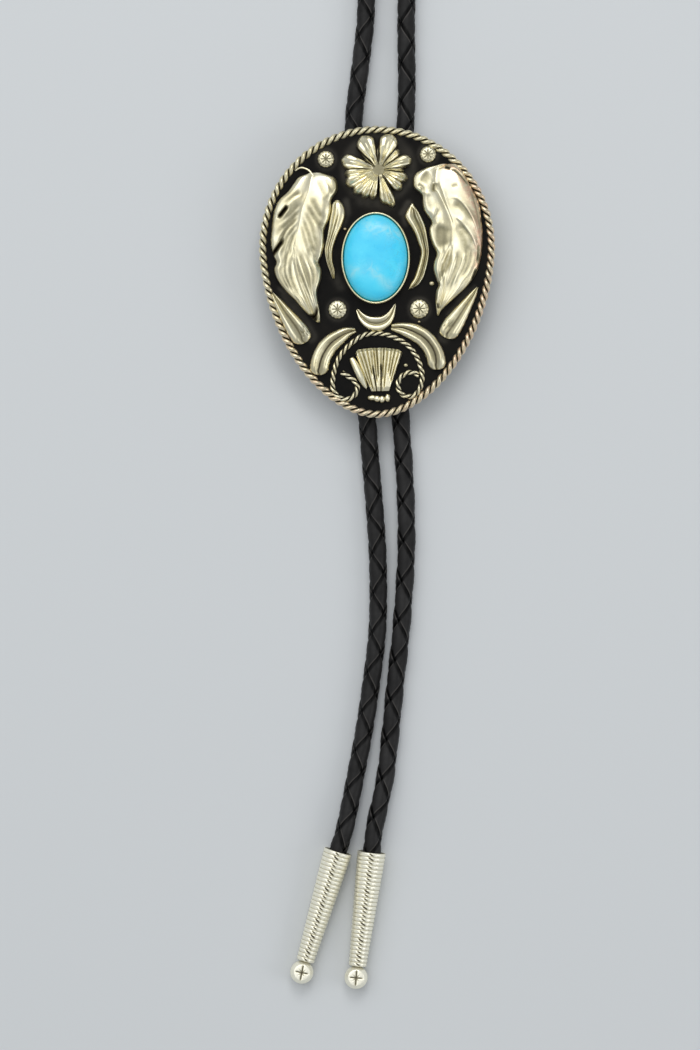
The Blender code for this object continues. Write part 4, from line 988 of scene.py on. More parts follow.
# Chased lines: half width in mm (minus turns the steep side), depth in mm (minus is raised), how dark,
# and the u and v of places along the line. How dark is tarnish in the fold, and on a line's wider side it is
# also painted shade of the slope that falls away there.
LEAF_LINES = {
    "left_leaf": [
        (-0.42, 0.21, 0.44, [(-0.633, 0.54), (-0.697, 0.515), (-0.76, 0.475), (-0.798, 0.438)]),
        (0.24, 1.2, 1.05, [(-0.756, 0.452), (-0.797, 0.410), (-0.842, 0.362)]),
        (-0.55, 0.21, 0.39, [
            (-0.632, 0.475), (-0.697, 0.424), (-0.767, 0.37), (-0.83, 0.336), (-0.869, 0.288)]),
        (-0.5, 0.23, 0.44, [
            (-0.643, 0.433), (-0.697, 0.376), (-0.76, 0.325), (-0.823, 0.277), (-0.876, 0.22)]),
        (-0.36, 0.26, 0.59, [
            (-0.658, 0.382), (-0.714, 0.328), (-0.77, 0.277), (-0.806, 0.22), (-0.844, 0.166)]),
        (0.24, 1.2, 1.05, [(-0.788, 0.228), (-0.832, 0.178), (-0.872, 0.132), (-0.930, 0.070)]),
        (-0.45, 0.23, 0.44, [
            (-0.672, 0.339), (-0.718, 0.282), (-0.763, 0.226), (-0.788, 0.152), (-0.802, 0.078)]),
        (-0.4, 0.21, 0.39, [(-0.683, 0.288), (-0.709, 0.231), (-0.732, 0.163), (-0.735, 0.09)]),
        (0.45, 0.16, 0.31, [(-0.514, 0.634), (-0.486, 0.572), (-0.447, 0.509), (-0.408, 0.47)]),
        (0.35, 0.13, 0.29, [(-0.444, 0.634), (-0.405, 0.589), (-0.384, 0.543), (-0.384, 0.509)]),
        (0.18, 0.13, 0.52, [
            (-0.401, 0.654), (-0.356, 0.62), (-0.342, 0.572), (-0.363, 0.529), (-0.398, 0.495)]),
        (0.45, 0.23, 0.44, [(-0.57, 0.515), (-0.528, 0.441), (-0.486, 0.385), (-0.437, 0.339)]),
        (0.5, 0.26, 0.47, [
            (-0.598, 0.47), (-0.563, 0.407), (-0.517, 0.345), (-0.472, 0.299), (-0.451, 0.248)]),
        (0.45, 0.23, 0.42, [
            (-0.618, 0.424), (-0.581, 0.356), (-0.546, 0.282), (-0.517, 0.203), (-0.479, 0.135)]),
        (0.4, 0.23, 0.44, [
            (-0.635, 0.385), (-0.609, 0.311), (-0.577, 0.237), (-0.542, 0.158), (-0.493, 0.078)]),
        (0.35, 0.21, 0.39, [
            (-0.649, 0.333), (-0.632, 0.271), (-0.612, 0.209), (-0.57, 0.124), (-0.528, 0.056)]),
        (0.16, 0.2, 0.85, [(-0.449, 0.294), (-0.449, 0.237), (-0.456, 0.175)]),
        (-0.4, 0.2, 0.39, [
            (-0.717, 0.19), (-0.749, 0.133), (-0.771, 0.065), (-0.775, -0.003), (-0.742, -0.077),
            (-0.684, -0.155)]),
        (-0.4, 0.2, 0.42, [
            (-0.697, 0.143), (-0.72, 0.08), (-0.729, 0.012), (-0.715, -0.061), (-0.671, -0.145),
            (-0.619, -0.223)]),
        (-0.35, 0.16, 0.34, [
            (-0.775, 0.049), (-0.806, 0.012), (-0.807, -0.03), (-0.775, -0.087), (-0.723, -0.145)]),
        (0.35, 0.2, 0.42, [
            (-0.706, 0.117), (-0.69, 0.044), (-0.664, -0.035), (-0.629, -0.108), (-0.587, -0.181),
            (-0.561, -0.239)]),
        (0.35, 0.21, 0.47, [
            (-0.671, 0.154), (-0.642, 0.08), (-0.609, 0.002), (-0.58, -0.071), (-0.557, -0.139),
            (-0.541, -0.197)]),
        (0.35, 0.18, 0.39, [
            (-0.619, 0.138), (-0.587, 0.08), (-0.551, 0.023), (-0.536, -0.03), (-0.541, -0.092),
            (-0.535, -0.155)]),
        (0.3, 0.18, 0.39, [
            (-0.567, 0.18), (-0.538, 0.127), (-0.518, 0.075), (-0.496, 0.028), (-0.496, -0.024)]),
        (0.22, 0.13, 0.34, [(-0.651, -0.003), (-0.625, -0.071), (-0.587, -0.139), (-0.551, -0.197)]),
        (0.2, 0.13, 0.31, [(-0.749, -0.092), (-0.697, -0.16), (-0.638, -0.228)]),
        (-0.28, -0.21, 0, [
            (-0.706, 0.206), (-0.71, 0.133), (-0.7, 0.049), (-0.671, -0.04), (-0.619, -0.145),
            (-0.554, -0.249)]),
        (0.24, 0.5, 1, [(-0.587, -0.294), (-0.538, -0.31), (-0.51, -0.283), (-0.505, -0.228)]),
        (0.34, 0.7, 0.9, [(-0.561, -0.304), (-0.528, -0.323), (-0.505, -0.331)]),
    ],
    "right_leaf": [
        (0.3, -0.26, 0, [
            (0.521, 0.679), (0.535, 0.594), (0.563, 0.521), (0.594, 0.441), (0.63, 0.373), (0.651, 0.305),
            (0.651, 0.231), (0.638, 0.141), (0.615, 0.044), (0.589, -0.035)]),
        (0.2, -0.21, 0, [
            (0.591, 0.495), (0.644, 0.506), (0.7, 0.484), (0.756, 0.433), (0.812, 0.356), (0.851, 0.265),
            (0.87, 0.158), (0.87, 0.067)]),
        (0.22, -0.23, 0, [
            (0.633, 0.385), (0.7, 0.348), (0.763, 0.288), (0.812, 0.226), (0.842, 0.152), (0.847, 0.078)]),
        (0.2, -0.18, 0, [(0.438, 0.328), (0.455, 0.248), (0.489, 0.18), (0.538, 0.124)]),
        (0.75, 0.24, 0.46, [(0.637, 0.47), (0.7, 0.441), (0.763, 0.39), (0.819, 0.311)]),
        (0.7, 0.24, 0.46, [(0.679, 0.328), (0.742, 0.282), (0.791, 0.22), (0.812, 0.146)]),
        (0.85, 0.12, 0.42, [(0.672, 0.300), (0.716, 0.236), (0.748, 0.168), (0.766, 0.095)]),
        (1.3, 0.36, 0.55, [(0.545, 0.328), (0.528, 0.26), (0.538, 0.192), (0.573, 0.135)]),
        (0.8, 0.21, 0.46, [(0.447, 0.679), (0.398, 0.64), (0.377, 0.589)]),
        (0.34, 0.29, 0.6, [(0.488, 0.609), (0.478, 0.572), (0.475, 0.538)]),
        (0.28, 0.34, 0.34, [(0.338, 0.589), (0.377, 0.572), (0.391, 0.532)]),
        (0.24, 0.3, 0.95, [(0.57, 0.713), (0.601, 0.707), (0.619, 0.7)]),
        (0.16, 0.26, 0.72, [(0.619, 0.7), (0.668, 0.682), (0.728, 0.631), (0.781, 0.572)]),
        (0.25, 0.13, 0.39, [(0.626, 0.575), (0.658, 0.582), (0.686, 0.589)]),
        (0.22, 0.16, 0.39, [(0.777, 0.572), (0.812, 0.498), (0.844, 0.407), (0.865, 0.305), (0.87, 0.237)]),
        (0.4, 0.18, 0.25, [(0.433, 0.532), (0.433, 0.475), (0.461, 0.407)]),
        (0.3, 0.16, 0.29, [(0.517, 0.43), (0.503, 0.39), (0.468, 0.345)]),
        (-0.4, 0.24, 0.46, [(0.632, 0.129), (0.601, 0.058), (0.557, -0.013), (0.524, -0.095)]),
        (0.3, -0.16, 0, [(0.666, 0.118), (0.635, 0.042), (0.608, -0.035), (0.578, -0.127)]),
        (0.45, 0.24, 0.46, [(0.693, 0.156), (0.679, 0.08), (0.649, 0.003), (0.612, -0.073), (0.564, -0.16)]),
        (0.22, -0.16, 0, [(0.733, 0.123), (0.71, 0.042), (0.666, -0.04), (0.618, -0.117)]),
        (0.45, 0.21, 0.4, [(0.76, 0.189), (0.76, 0.102), (0.726, 0.02), (0.672, -0.062)]),
        (0.25, 0.16, 0.34, [(0.797, 0.156), (0.791, 0.08), (0.753, 0.003), (0.699, -0.062)]),
        (0.25, 0.16, 0.29, [(0.557, 0.085), (0.547, 0.003), (0.524, -0.062), (0.517, -0.133)]),
        (0.22, 0.3, 0.9, [(0.849, 0.189), (0.851, 0.123), (0.844, 0.058)]),
        (0.22, 0.3, 0.9, [(0.836, 0.025), (0.818, -0.018), (0.794, -0.067)]),
        (0.16, 0.3, 0.8, [(0.507, -0.215), (0.517, -0.258)]),
    ],
}
# Where solder has flashed pink: u and v along the right leaf's outer edge, and width in metres
LEAF_FLASH = [(0.600, 0.710), (0.715, 0.640), (0.785, 0.540), (0.835, 0.420), (0.862, 0.280), (0.862, 0.040)]
LEAF_FLASH_WIDTH = 0.0013
LEAF_STEM = [(-0.690, 0.690), (-0.655, 0.708), (-0.620, 0.708), (-0.577, 0.692), (-0.538, 0.655)]


def across_places(count):
    """Places from -1 to 1, drawn together towards both edges: w (1.35 - 0.35 w^2)."""
    w = np.linspace(-1, 1, count)[None]
    return w * (1.35 - 0.35 * w ** 2)


def soldered_shell(grid, hollow):
    """A soldered ornament: its top is the grid, and straight walls and a flat base reach into the plate."""
    base = grid[:, [-1, 0]].copy()
    base[..., 2] = PLATE_FRONT - SOLDER_DEPTH
    rings = np.concatenate([grid, base], axis=1)
    dark = np.concatenate([hollow, np.ones((len(grid), 2))], axis=1)
    return (rings, tube_faces(*rings.shape[:2])), dark


def chased(flat, places, half_width):
    """How near each point lies to a chased line, from 0 to 1: a bell curve of the distance to its nearest
    straight piece, wider on one side than on the other, that fades at both ends."""
    line = on_slide(*smooth_route(places, LINE_POINTS).T)
    run = np.diff(line, axis=0)
    off = flat[..., None, :] - line[:-1]
    share = np.clip((off * run).sum(-1) / (run * run).sum(-1), 0, 1)
    gap = np.linalg.norm(off - share[..., None] * run, axis=-1)
    nearest = gap.argmin(axis=-1)[..., None]
    turn = np.take_along_axis(run[:, 0] * off[..., 1] - run[:, 1] * off[..., 0], nearest, -1)[..., 0]
    along = (nearest + np.take_along_axis(share, nearest, -1))[..., 0] / len(run)
    width = abs(half_width) * 0.001 * np.where(turn * half_width > 0, WIDE_SIDE, 1.0)
    return dip(gap.min(axis=-1), width) * ease(along, -0.02, 0.22) * ease(1 - along, -0.02, 0.30)


def leaf_shell(name, rows):
    """The leaf as a grid of rows down its length and columns from edge to edge. Height = rise x section -
    each chased line's depth x nearness - streaks, where a streak's phase is count x g(t) - spread x d, t
    runs down the leaf, d runs from vein to edge and g(t) = t - 0.42 t^2, so that streaks draw together."""
    v, left, vein, right, rise = (column[:, None] for column in smooth_route(rows, LEAF_ROWS).T)
    place = across_places(LEAF_COLUMNS)
    u = vein + np.where(place < 0, vein - left, right - vein) * place
    t = np.linspace(0, 1, LEAF_ROWS)[:, None]
    d = np.abs(place)
    flat = on_slide(u, v + 0 * u)
    across, level = smooth_route(LEAF_SECTION, 60).T
    section = np.interp(d, across, level) * (1 - 0.30 * ease(d, 0.94, 1.0) ** 2)
    count, spread, tip_spread = LEAF_STREAKS[name]
    phase = count * (t - 0.42 * t ** 2) - (spread + (tip_spread - spread) * t ** 2) * d
    streak = 0.5 - 0.5 * np.cos(2 * math.pi * (phase + 0.15 * np.sin(7 * t - 3 * d)))
    low = ease(t, 0.30, 0.55)
    height = LEAF_RISE * rise * section - STREAK_DEPTH * streak * low
    hollow = 0.16 * streak ** 2 * low
    for half_width, depth, dark, places in sorted(LEAF_LINES[name], key=lambda line: -line[1]):
        near = chased(flat, places, half_width)
        height -= 0.001 * depth * near
        # Darkening by each line: tarnish in its fold, spread over its wider side as painted shade of the
        # falling slope
        hollow = np.maximum(hollow, dark * near ** 0.8) if dark else hollow * (1 - 0.9 * near)
    height = PLATE_FRONT + np.maximum(height, LEAST_RISE)
    flash = 0 * hollow
    if name == "right_leaf":
        places = on_slide(*smooth_route(LEAF_FLASH, 24).T)
        gap = np.linalg.norm(flat[..., None, :] - places, axis=-1).min(axis=-1)
        flash = dip(gap, LEAF_FLASH_WIDTH)
    return soldered_shell(np.dstack([flat, height]), np.clip(hollow, 0, 1)), np.pad(flash, ((0, 0), (0, 2)))


def stem_shell(points, radius, low, high):
    """A thin tapered stem that climbs from the plate onto the leaf: a circle carried along its line."""
    line = smooth_route(points, STEM_POINTS)
    share = np.linspace(0, 1, STEM_POINTS)
    path = np.column_stack([on_slide(*line.T), low + (high - low) * share ** 1.5])
    spin = np.linspace(0, 2 * math.pi, STEM_SIDES, endpoint=False)
    rings = carry(path, radius * (0.35 + 0.65 * share ** 0.5)[:, None] + 0 * spin[None], spin[None])
    return (rings, tube_faces(STEM_POINTS, STEM_SIDES)), np.full((STEM_POINTS, STEM_SIDES), STEM_TARNISH)


LEAF_SILVER = silver_finish("leaf_silver", 0.50, 420.0)
for name, rows in (("left_leaf", LEFT_LEAF), ("right_leaf", RIGHT_LEAF)):
    part, flash = leaf_shell(name, rows)
    parts, flashes = [part], [flash]
    if name == "left_leaf":
        low, high = PLATE_FRONT + STEM_LOW, PLATE_FRONT + 0.45 * LEAF_RISE
        parts.append(stem_shell(LEAF_STEM, STEM_RADIUS, low, high))
        flashes.append(np.zeros(STEM_POINTS * STEM_SIDES))
    add_soldered(name, parts, LEAF_SILVER, flashes)

# The flower and the dots
# The flower and the four round buttons are struck from thick silver with steel punches: fluted petals
# round a plain low heart, and an eight-rayed star with a scalloped edge on each button.
FLOWER_RISE = 0.0024
FLOWER_RADIUS = 0.0076
FLOWER_PLACE = (0.014, 0.697)
FLOWER_HEART = 0.165
HEART_LEVEL, HEART_TARNISH = 0.48, 0.60
# Petals: bearing in degrees from +X, reach as a share of the radius, half angle in degrees
PETALS = [
    (18, 0.93, 14),
    (44, 0.76, 12),
    (70, 1.00, 19),
    (117, 1.00, 19),
    (165, 1.04, 15),
    (187, 0.93, 9),
    (204, 0.97, 14),
    (224, 0.93, 11),
    (241, 0.88, 10),
    (257, 0.83, 10),
    (291, 1.08, 9),
    (284, 0.97, 13),
    (319, 0.82, 13),
    (342, 0.82, 12),
    (358, 0.68, 8),
]
# Deep notches between petals: bearing, share of the radius that is left, half angle
NOTCHES = [(147, 0.42, 9), (95, 0.60, 8), (7, 0.66, 6), (305, 0.64, 5), (269, 0.34, 4)]
FLOWER_RINGS, FLOWER_SIDES = 44, 360
# From the heart outward: share of the reach, and height share
PETAL_SECTION = [
    (0.0, 0.48),
    (0.17, 0.48),
    (0.22, 0.62),
    (0.42, 0.90),
    (0.68, 1.0),
    (0.90, 0.90),
    (1.0, 0.62),
]
STAR_LINE = 0.00010
DOT_RISE = 0.0012
DOT_RINGS, DOT_SIDES, DOT_RAYS, DOT_SCALLOPS = 26, 96, 8, 14
# Stamped dots: u, v, radius as a share of half the slide's width
DOTS = [
    (-0.432, 0.769, 0.073),
    (0.430, 0.802, 0.071),
    (-0.334, -0.257, 0.080),
    (0.358, -0.253, 0.083),
]


def round_shell(centre, out, turn, height, hollow):
    """Rings from the middle outward, with a last ring straight down in the plate."""
    x = centre[0] + out * np.cos(turn)
    y = centre[1] + out * np.sin(turn)
    rings = np.dstack([x + 0 * height, y + 0 * height, height])
    base = rings[-1:].copy()
    base[..., 2] = PLATE_FRONT - SOLDER_DEPTH
    rings = np.vstack([rings, base])
    dark = np.vstack([hollow, np.ones((1, hollow.shape[1]))])
    return (rings, tube_faces(*rings.shape[:2])), dark


def star_cuts(out, turn, radius, rays, width):
    """Grooves along evenly spaced rays: the distance to the nearest ray is r sin(angle), faded out at the
    star's radius."""
    step = 2 * math.pi / rays
    off = np.abs((turn + step / 2) % step - step / 2)
    return dip(out * np.sin(off), width) * (1 - ease(out, 0.80 * radius, radius))


def flower_shell():
    """Petals round a flat heart. In each direction the reach is the longest petal's, which is its own reach
    times 1.03 - 0.17 x^1.8, with x the angle from its middle line in half angles. The height falls from that
    line to the petal's sides, with three sharp flutes, 1 - |saw(1.5 x)|, across it."""
    turn = np.linspace(0, 2 * math.pi, FLOWER_SIDES, endpoint=False)[None]
    bearing, reach, half = np.array(PETALS, dtype=float).T[..., None]
    x = ((np.degrees(turn) - bearing + 180) % 360 - 180) / half
    lobe = reach * (1.03 - 0.17 * np.abs(x) ** 1.8) - 0.9 * np.clip(np.abs(x) - 1.0, 0, None)
    nearest = lobe.argmax(axis=0)
    limit = lobe.max(axis=0)[None]
    x = np.take_along_axis(x, nearest[None], axis=0)
    for at, left_share, width in NOTCHES:
        off = np.abs((np.degrees(turn) - at + 180) % 360 - 180) / width
        limit = np.minimum(limit, left_share + (1.1 - left_share) * np.clip(off, 0, 1.2) ** 0.75)
    share = np.linspace(0.01, 1, FLOWER_RINGS)[:, None] ** 0.8
    heart = 1 - ease(share * limit, FLOWER_HEART - 0.025, FLOWER_HEART + 0.015)
    level = np.interp(share, *np.array(PETAL_SECTION).T)
    sharp = 1 - np.clip(np.abs(x), 0, 1.10)
    facet = 1 - np.abs((1.5 * x + 0.5) % 1 * 2 - 1)
    flutes = 0.62 * sharp + 0.26 * facet - 0.40
    cut = flutes * ease(share, 0.12, 0.45) * (1 - 0.25 * ease(share, 0.75, 1.0))
    drop = 1 - 0.35 * ease(share, 0.96, 1.0) ** 2
    petal = np.clip(level * drop + 0.42 * cut, 0.12, 1.15)
    height = PLATE_FRONT + FLOWER_RISE * (petal * (1 - heart) + HEART_LEVEL * heart)
    valley = dip(facet, 0.16)
    hollow = (0.95 * ease(-flutes, 0.14, 0.40) + 0.34 * valley) * ease(share, 0.12, 0.30)
    hollow = hollow * (1 - heart) + HEART_TARNISH * heart
    out = share * limit * FLOWER_RADIUS
    return round_shell(on_slide(*FLOWER_PLACE), out, turn, height, np.clip(hollow, 0, 1))


def dot_shell(u, v, radius):
    """A button with a star of rays in its top and a scalloped edge, under a low dome: 0.42 + 0.58
    (1 - share^3.2)^0.45."""
    turn = np.linspace(0, 2 * math.pi, DOT_SIDES, endpoint=False)[None]
    share = np.linspace(0.02, 1, DOT_RINGS)[:, None]
    reach = radius * SLIDE_WIDTH / 2
    scallop = 0.5 - 0.5 * np.cos(DOT_SCALLOPS * turn)
    out = share * reach * (1 - 0.05 * scallop * ease(share, 0.75, 1.0))
    star = star_cuts(out, turn, 0.68 * reach, DOT_RAYS, STAR_LINE)
    rim = dip(share - 0.80, 0.07) * scallop
    level = (1 - share ** 3.2) ** 0.45 * 0.58 + 0.42
    height = PLATE_FRONT + DOT_RISE * (level - 0.09 * star - 0.05 * rim)
    return round_shell(on_slide(u, v), out, turn, height, np.clip(0.14 + 0.46 * star + 0.34 * rim, 0, 1))


STAMPED_SILVER = silver_finish("stamped_silver", 0.46, 520.0)
stamped = {"flower": flower_shell()}
for number, (u, v, radius) in enumerate(DOTS, 1):
    stamped[f"stamped_dot_{number}"] = dot_shell(u, v, radius)
for name, part in stamped.items():
    add_soldered(name, [part], STAMPED_SILVER)

# The horns, drops, crescent and fan
# Small pieces sawn from silver and filed with long grooves: two horns beside the stone, two drops and two
# curved drops below, a crescent under the stone, and a fluted fan with a side flute and a lumpy foot.
HORN_RISE = 0.0015
DROP_RISE = 0.0017
CRESCENT_RISE = 0.0014
FAN_RISE = 0.0017
BAND_ROWS, BAND_COLUMNS = 72, 44
FAN_ROWS, FAN_COLUMNS = 60, 150
LUMP_RINGS, LUMP_SIDES = 12, 28
TEARDROP_TARNISH, CURVED_DROP_TARNISH, CRESCENT_TARNISH = 0.62, 0.75, 0.60
# Horn rows: v, left edge u, right edge u, rise
LEFT_HORN = [
    (0.488, -0.356, -0.314, 0.60),
    (0.460, -0.381, -0.288, 0.90),
    (0.413, -0.390, -0.268, 1.00),
    (0.358, -0.403, -0.275, 1.00),
    (0.290, -0.415, -0.309, 1.00),
    (0.222, -0.430, -0.345, 0.95),
    (0.146, -0.445, -0.373, 0.90),
    (0.071, -0.430, -0.373, 0.85),
    (0.012, -0.405, -0.356, 0.75),
    (-0.045, -0.377, -0.356, 0.55),
]
RIGHT_HORN = [
    (0.464, 0.288, 0.309, 0.60),
    (0.440, 0.263, 0.326, 0.80),
    (0.406, 0.242, 0.356, 1.00),
    (0.376, 0.232, 0.377, 1.00),
    (0.338, 0.257, 0.398, 1.00),
    (0.304, 0.286, 0.412, 1.00),
    (0.249, 0.322, 0.425, 1.00),
    (0.194, 0.346, 0.436, 0.95),
    (0.140, 0.369, 0.442, 0.95),
    (0.071, 0.355, 0.432, 0.90),
    (0.010, 0.333, 0.415, 0.90),
    (-0.038, 0.314, 0.394, 0.80),
    (-0.084, 0.281, 0.356, 0.70),
    (-0.117, 0.265, 0.288, 0.50),
]
# Grooves of a horn: place across, width, strength, and the share of the length where it starts
LEFT_HORN_GROOVES = [(-0.55, 0.16, 0.6, 0.10), (-0.05, 0.12, 0.75, 0.30), (0.40, 0.12, 0.55, 0.42)]
RIGHT_HORN_GROOVES = [(-0.20, 0.14, 0.6, 0.05), (0.18, 0.17, 0.95, 0.08), (0.58, 0.14, 0.7, 0.15)]
# Band rows along a middle line: u, v, half width as a share of half the slide's width, rise
LEFT_TEARDROP = [
    (-0.880, -0.150, 0.012, 0.50),
    (-0.845, -0.195, 0.033, 0.75),
    (-0.785, -0.268, 0.055, 0.90),
    (-0.715, -0.350, 0.077, 1.00),
    (-0.668, -0.405, 0.086, 1.00),
    (-0.637, -0.443, 0.073, 0.95),
    (-0.615, -0.478, 0.030, 0.70),
]
RIGHT_TEARDROP = [
    (0.845, -0.110, 0.012, 0.50),
    (0.808, -0.158, 0.033, 0.75),
    (0.748, -0.232, 0.055, 0.90),
    (0.680, -0.315, 0.077, 1.00),
    (0.634, -0.370, 0.086, 1.00),
    (0.607, -0.409, 0.073, 0.95),
    (0.592, -0.446, 0.030, 0.70),
]
LEFT_CURVED_DROP = [
    (-0.188, -0.399, 0.022, 0.60),
    (-0.253, -0.412, 0.046, 0.85),
    (-0.324, -0.447, 0.066, 1.00),
    (-0.398, -0.493, 0.077, 1.00),
    (-0.450, -0.551, 0.081, 1.00),
    (-0.478, -0.608, 0.079, 1.00),
    (-0.487, -0.656, 0.064, 0.95),
    (-0.489, -0.696, 0.026, 0.70),
]
RIGHT_CURVED_DROP = [
    (0.130, -0.378, 0.030, 0.60),
    (0.222, -0.388, 0.056, 0.90),
    (0.306, -0.410, 0.071, 1.00),
    (0.391, -0.449, 0.077, 1.00),
    (0.453, -0.506, 0.077, 1.00),
    (0.489, -0.563, 0.079, 1.00),
    (0.503, -0.616, 0.064, 0.95),
    (0.505, -0.659, 0.026, 0.70),
]
CRESCENT = [
    (-0.166, -0.262, 0.014, 0.55),
    (-0.124, -0.312, 0.038, 0.85),
    (-0.066, -0.345, 0.056, 1.00),
    (0.000, -0.354, 0.063, 1.00),
    (0.062, -0.340, 0.056, 1.00),
    (0.114, -0.296, 0.038, 0.85),
    (0.150, -0.230, 0.011, 0.55),
]
FAN_SIDE_FLUTE = [
    (-0.214, -0.592, 0.022, 0.70),
    (-0.183, -0.640, 0.034, 0.90),
    (-0.140, -0.712, 0.033, 0.90),
    (-0.098, -0.782, 0.018, 0.70),
]
# Lumps of the fan's foot: u, v, and half widths along and across as shares of half the slide's width
FOOT_LUMPS = [
    (-0.040, -0.859, 0.044, 0.024),
    (0.000, -0.865, 0.032, 0.030),
    (0.042, -0.869, 0.028, 0.032),
    (0.088, -0.860, 0.026, 0.036),
]
# Across a piece: place from the left edge, -1, to the right edge, 1, and height share
GROOVED_SECTION = [
    (-1.0, 0.50),
    (-0.86, 0.80),
    (-0.50, 1.0),
    (0.0, 0.70),
    (0.50, 1.0),
    (0.86, 0.80),
    (1.0, 0.50),
]
ROUND_SECTION = [(-1.0, 0.45), (-0.80, 0.80), (-0.30, 1.0), (0.30, 1.0), (0.80, 0.80), (1.0, 0.45)]
CRESCENT_SECTION = [
    (-1.0, 0.50),
    (-0.75, 0.85),
    (-0.35, 0.80),
    (0.05, 0.62),
    (0.35, 0.95),
    (0.80, 0.92),
    (1.0, 0.50),
]
# The star in the wide end of each teardrop: its u and v, and its size
STAR_RADIUS, STAR_RAYS, STAR_DEPTH = 0.0014, 8, 0.00016
STAR_PLACES = {"left_teardrop": (-0.619, -0.406), "right_teardrop": (0.605, -0.367)}
# The fan's top edge, share of the way across, u and v, and the two ends of its bottom edge
FAN_TOP = [
    (0.0, -0.187, -0.556),
    (0.07, -0.160, -0.531),
    (0.33, -0.050, -0.520),
    (0.64, 0.068, -0.519),
    (0.93, 0.185, -0.531),
    (1.0, 0.214, -0.553),
]
FAN_BOTTOM = [(-0.052, -0.815), (0.104, -0.812)]
# Its grooves: place across, width, how dark, and how far up it starts, or with a minus how far up it ends
FAN_GROOVES = [
    (0.07, 0.010, 0.35, 0.10),
    (0.15, 0.014, 0.45, 0.00),
    (0.24, 0.010, 0.35, 0.35),
    (0.31, 0.016, 0.95, -0.50),
    (0.38, 0.010, 0.40, 0.20),
    (0.45, 0.013, 0.55, 0.30),
    (0.55, 0.018, 1.00, -0.55),
    (0.61, 0.012, 0.50, 0.25),
    (0.69, 0.014, 0.40, 0.05),
    (0.78, 0.010, 0.35, 0.40),
    (0.85, 0.013, 0.45, 0.30),
    (0.93, 0.010, 0.35, 0.20),
]


def filed(place, grooves, t):
    """Long file grooves: each is a dip of its width at its place across a piece. It starts at its share of
    the length and wanders a little."""
    wander = 0.06 * np.sin(5 * t + 1.0)
    cuts = [dip(place - at - wander, width) * strength * ease(t, begin, begin + 0.15)
            for at, width, strength, begin in grooves]
    return np.maximum.reduce(cuts)


def horn_shell(rows, grooves):
    """A horn: rows down its length and columns from edge to edge. Height = rise x (section - 0.30 x the
    deepest groove)."""
    v, left, right, rise = (column[:, None] for column in smooth_route(rows, BAND_ROWS).T)
    place = across_places(BAND_COLUMNS)
    u = (left + right) / 2 + place * (right - left) / 2
    t = np.linspace(0, 1, BAND_ROWS)[:, None]
    level = np.interp(place, *smooth_route(ROUND_SECTION, 60).T)
    groove = filed(place, grooves, t)
    height = PLATE_FRONT + HORN_RISE * rise * (level - 0.30 * groove)
    return soldered_shell(np.dstack([on_slide(u, v + 0 * u), height]), np.clip(0.7 * groove, 0, 1))


def band_shell(rows, section, rise, depth=0.0, name="", blunt=False):
    """A form along a middle line: each row is the section across it, square to the line, and one more row
    closes each end. A blunt end is round: past its widest row the half width is h (1 - x^2.3)^0.45. Tarnish
    lies along the middle to a given depth."""
    rows = np.array(rows)
    first = [*(rows[0, :2] - 0.10 * (rows[1, :2] - rows[0, :2])), 0.45 * rows[0, 2], 0.8 * rows[0, 3]]
    last = [*(rows[-1, :2] + 0.22 * (rows[-1, :2] - rows[-2, :2])), 0.12 * rows[-1, 2], 0.9 * rows[-1, 3]]
    u, v, half, share = smooth_route(np.vstack([first, rows, last]), BAND_ROWS).T
    if blunt:
        widest = half.argmax()
        past = np.clip((np.arange(BAND_ROWS) - widest) / (BAND_ROWS - 1 - widest), 0, 0.9995)
        half = np.where(past > 0, half[widest] * (1 - past ** 2.3) ** 0.45, half)
    middle = on_slide(u, v)
    along = unit(np.gradient(middle, axis=0))
    across = np.column_stack([along[:, 1], -along[:, 0]])
    place = across_places(BAND_COLUMNS)
    off = np.maximum(half, 0.001)[:, None] * place * SLIDE_WIDTH / 2
    flat = middle[:, None] + across[:, None] * off[..., None]
    level = np.interp(place, *smooth_route(section, 80).T)
    height = PLATE_FRONT + rise * share[:, None] * (level + 0 * half[:, None])
    t = np.linspace(0, 1, BAND_ROWS)[:, None]
    wander = 0.08 * np.sin(7 * t + 2) + 0.05 * np.sin(17 * t)
    hollow = depth * (0.55 * dip(place - wander, 0.42) + 0.75 * dip(place - wander, 0.10)) + 0 * height
    if name in STAR_PLACES:
        off = flat - on_slide(*STAR_PLACES[name])
        turn = np.arctan2(off[..., 1], off[..., 0])
        star = star_cuts(np.linalg.norm(off, axis=-1), turn, STAR_RADIUS, STAR_RAYS, STAR_LINE)
        height = height - STAR_DEPTH * star
        hollow = np.maximum(hollow, 0.55 * star)
    return soldered_shell(np.dstack([flat, height]), np.clip(hollow, 0, 1))


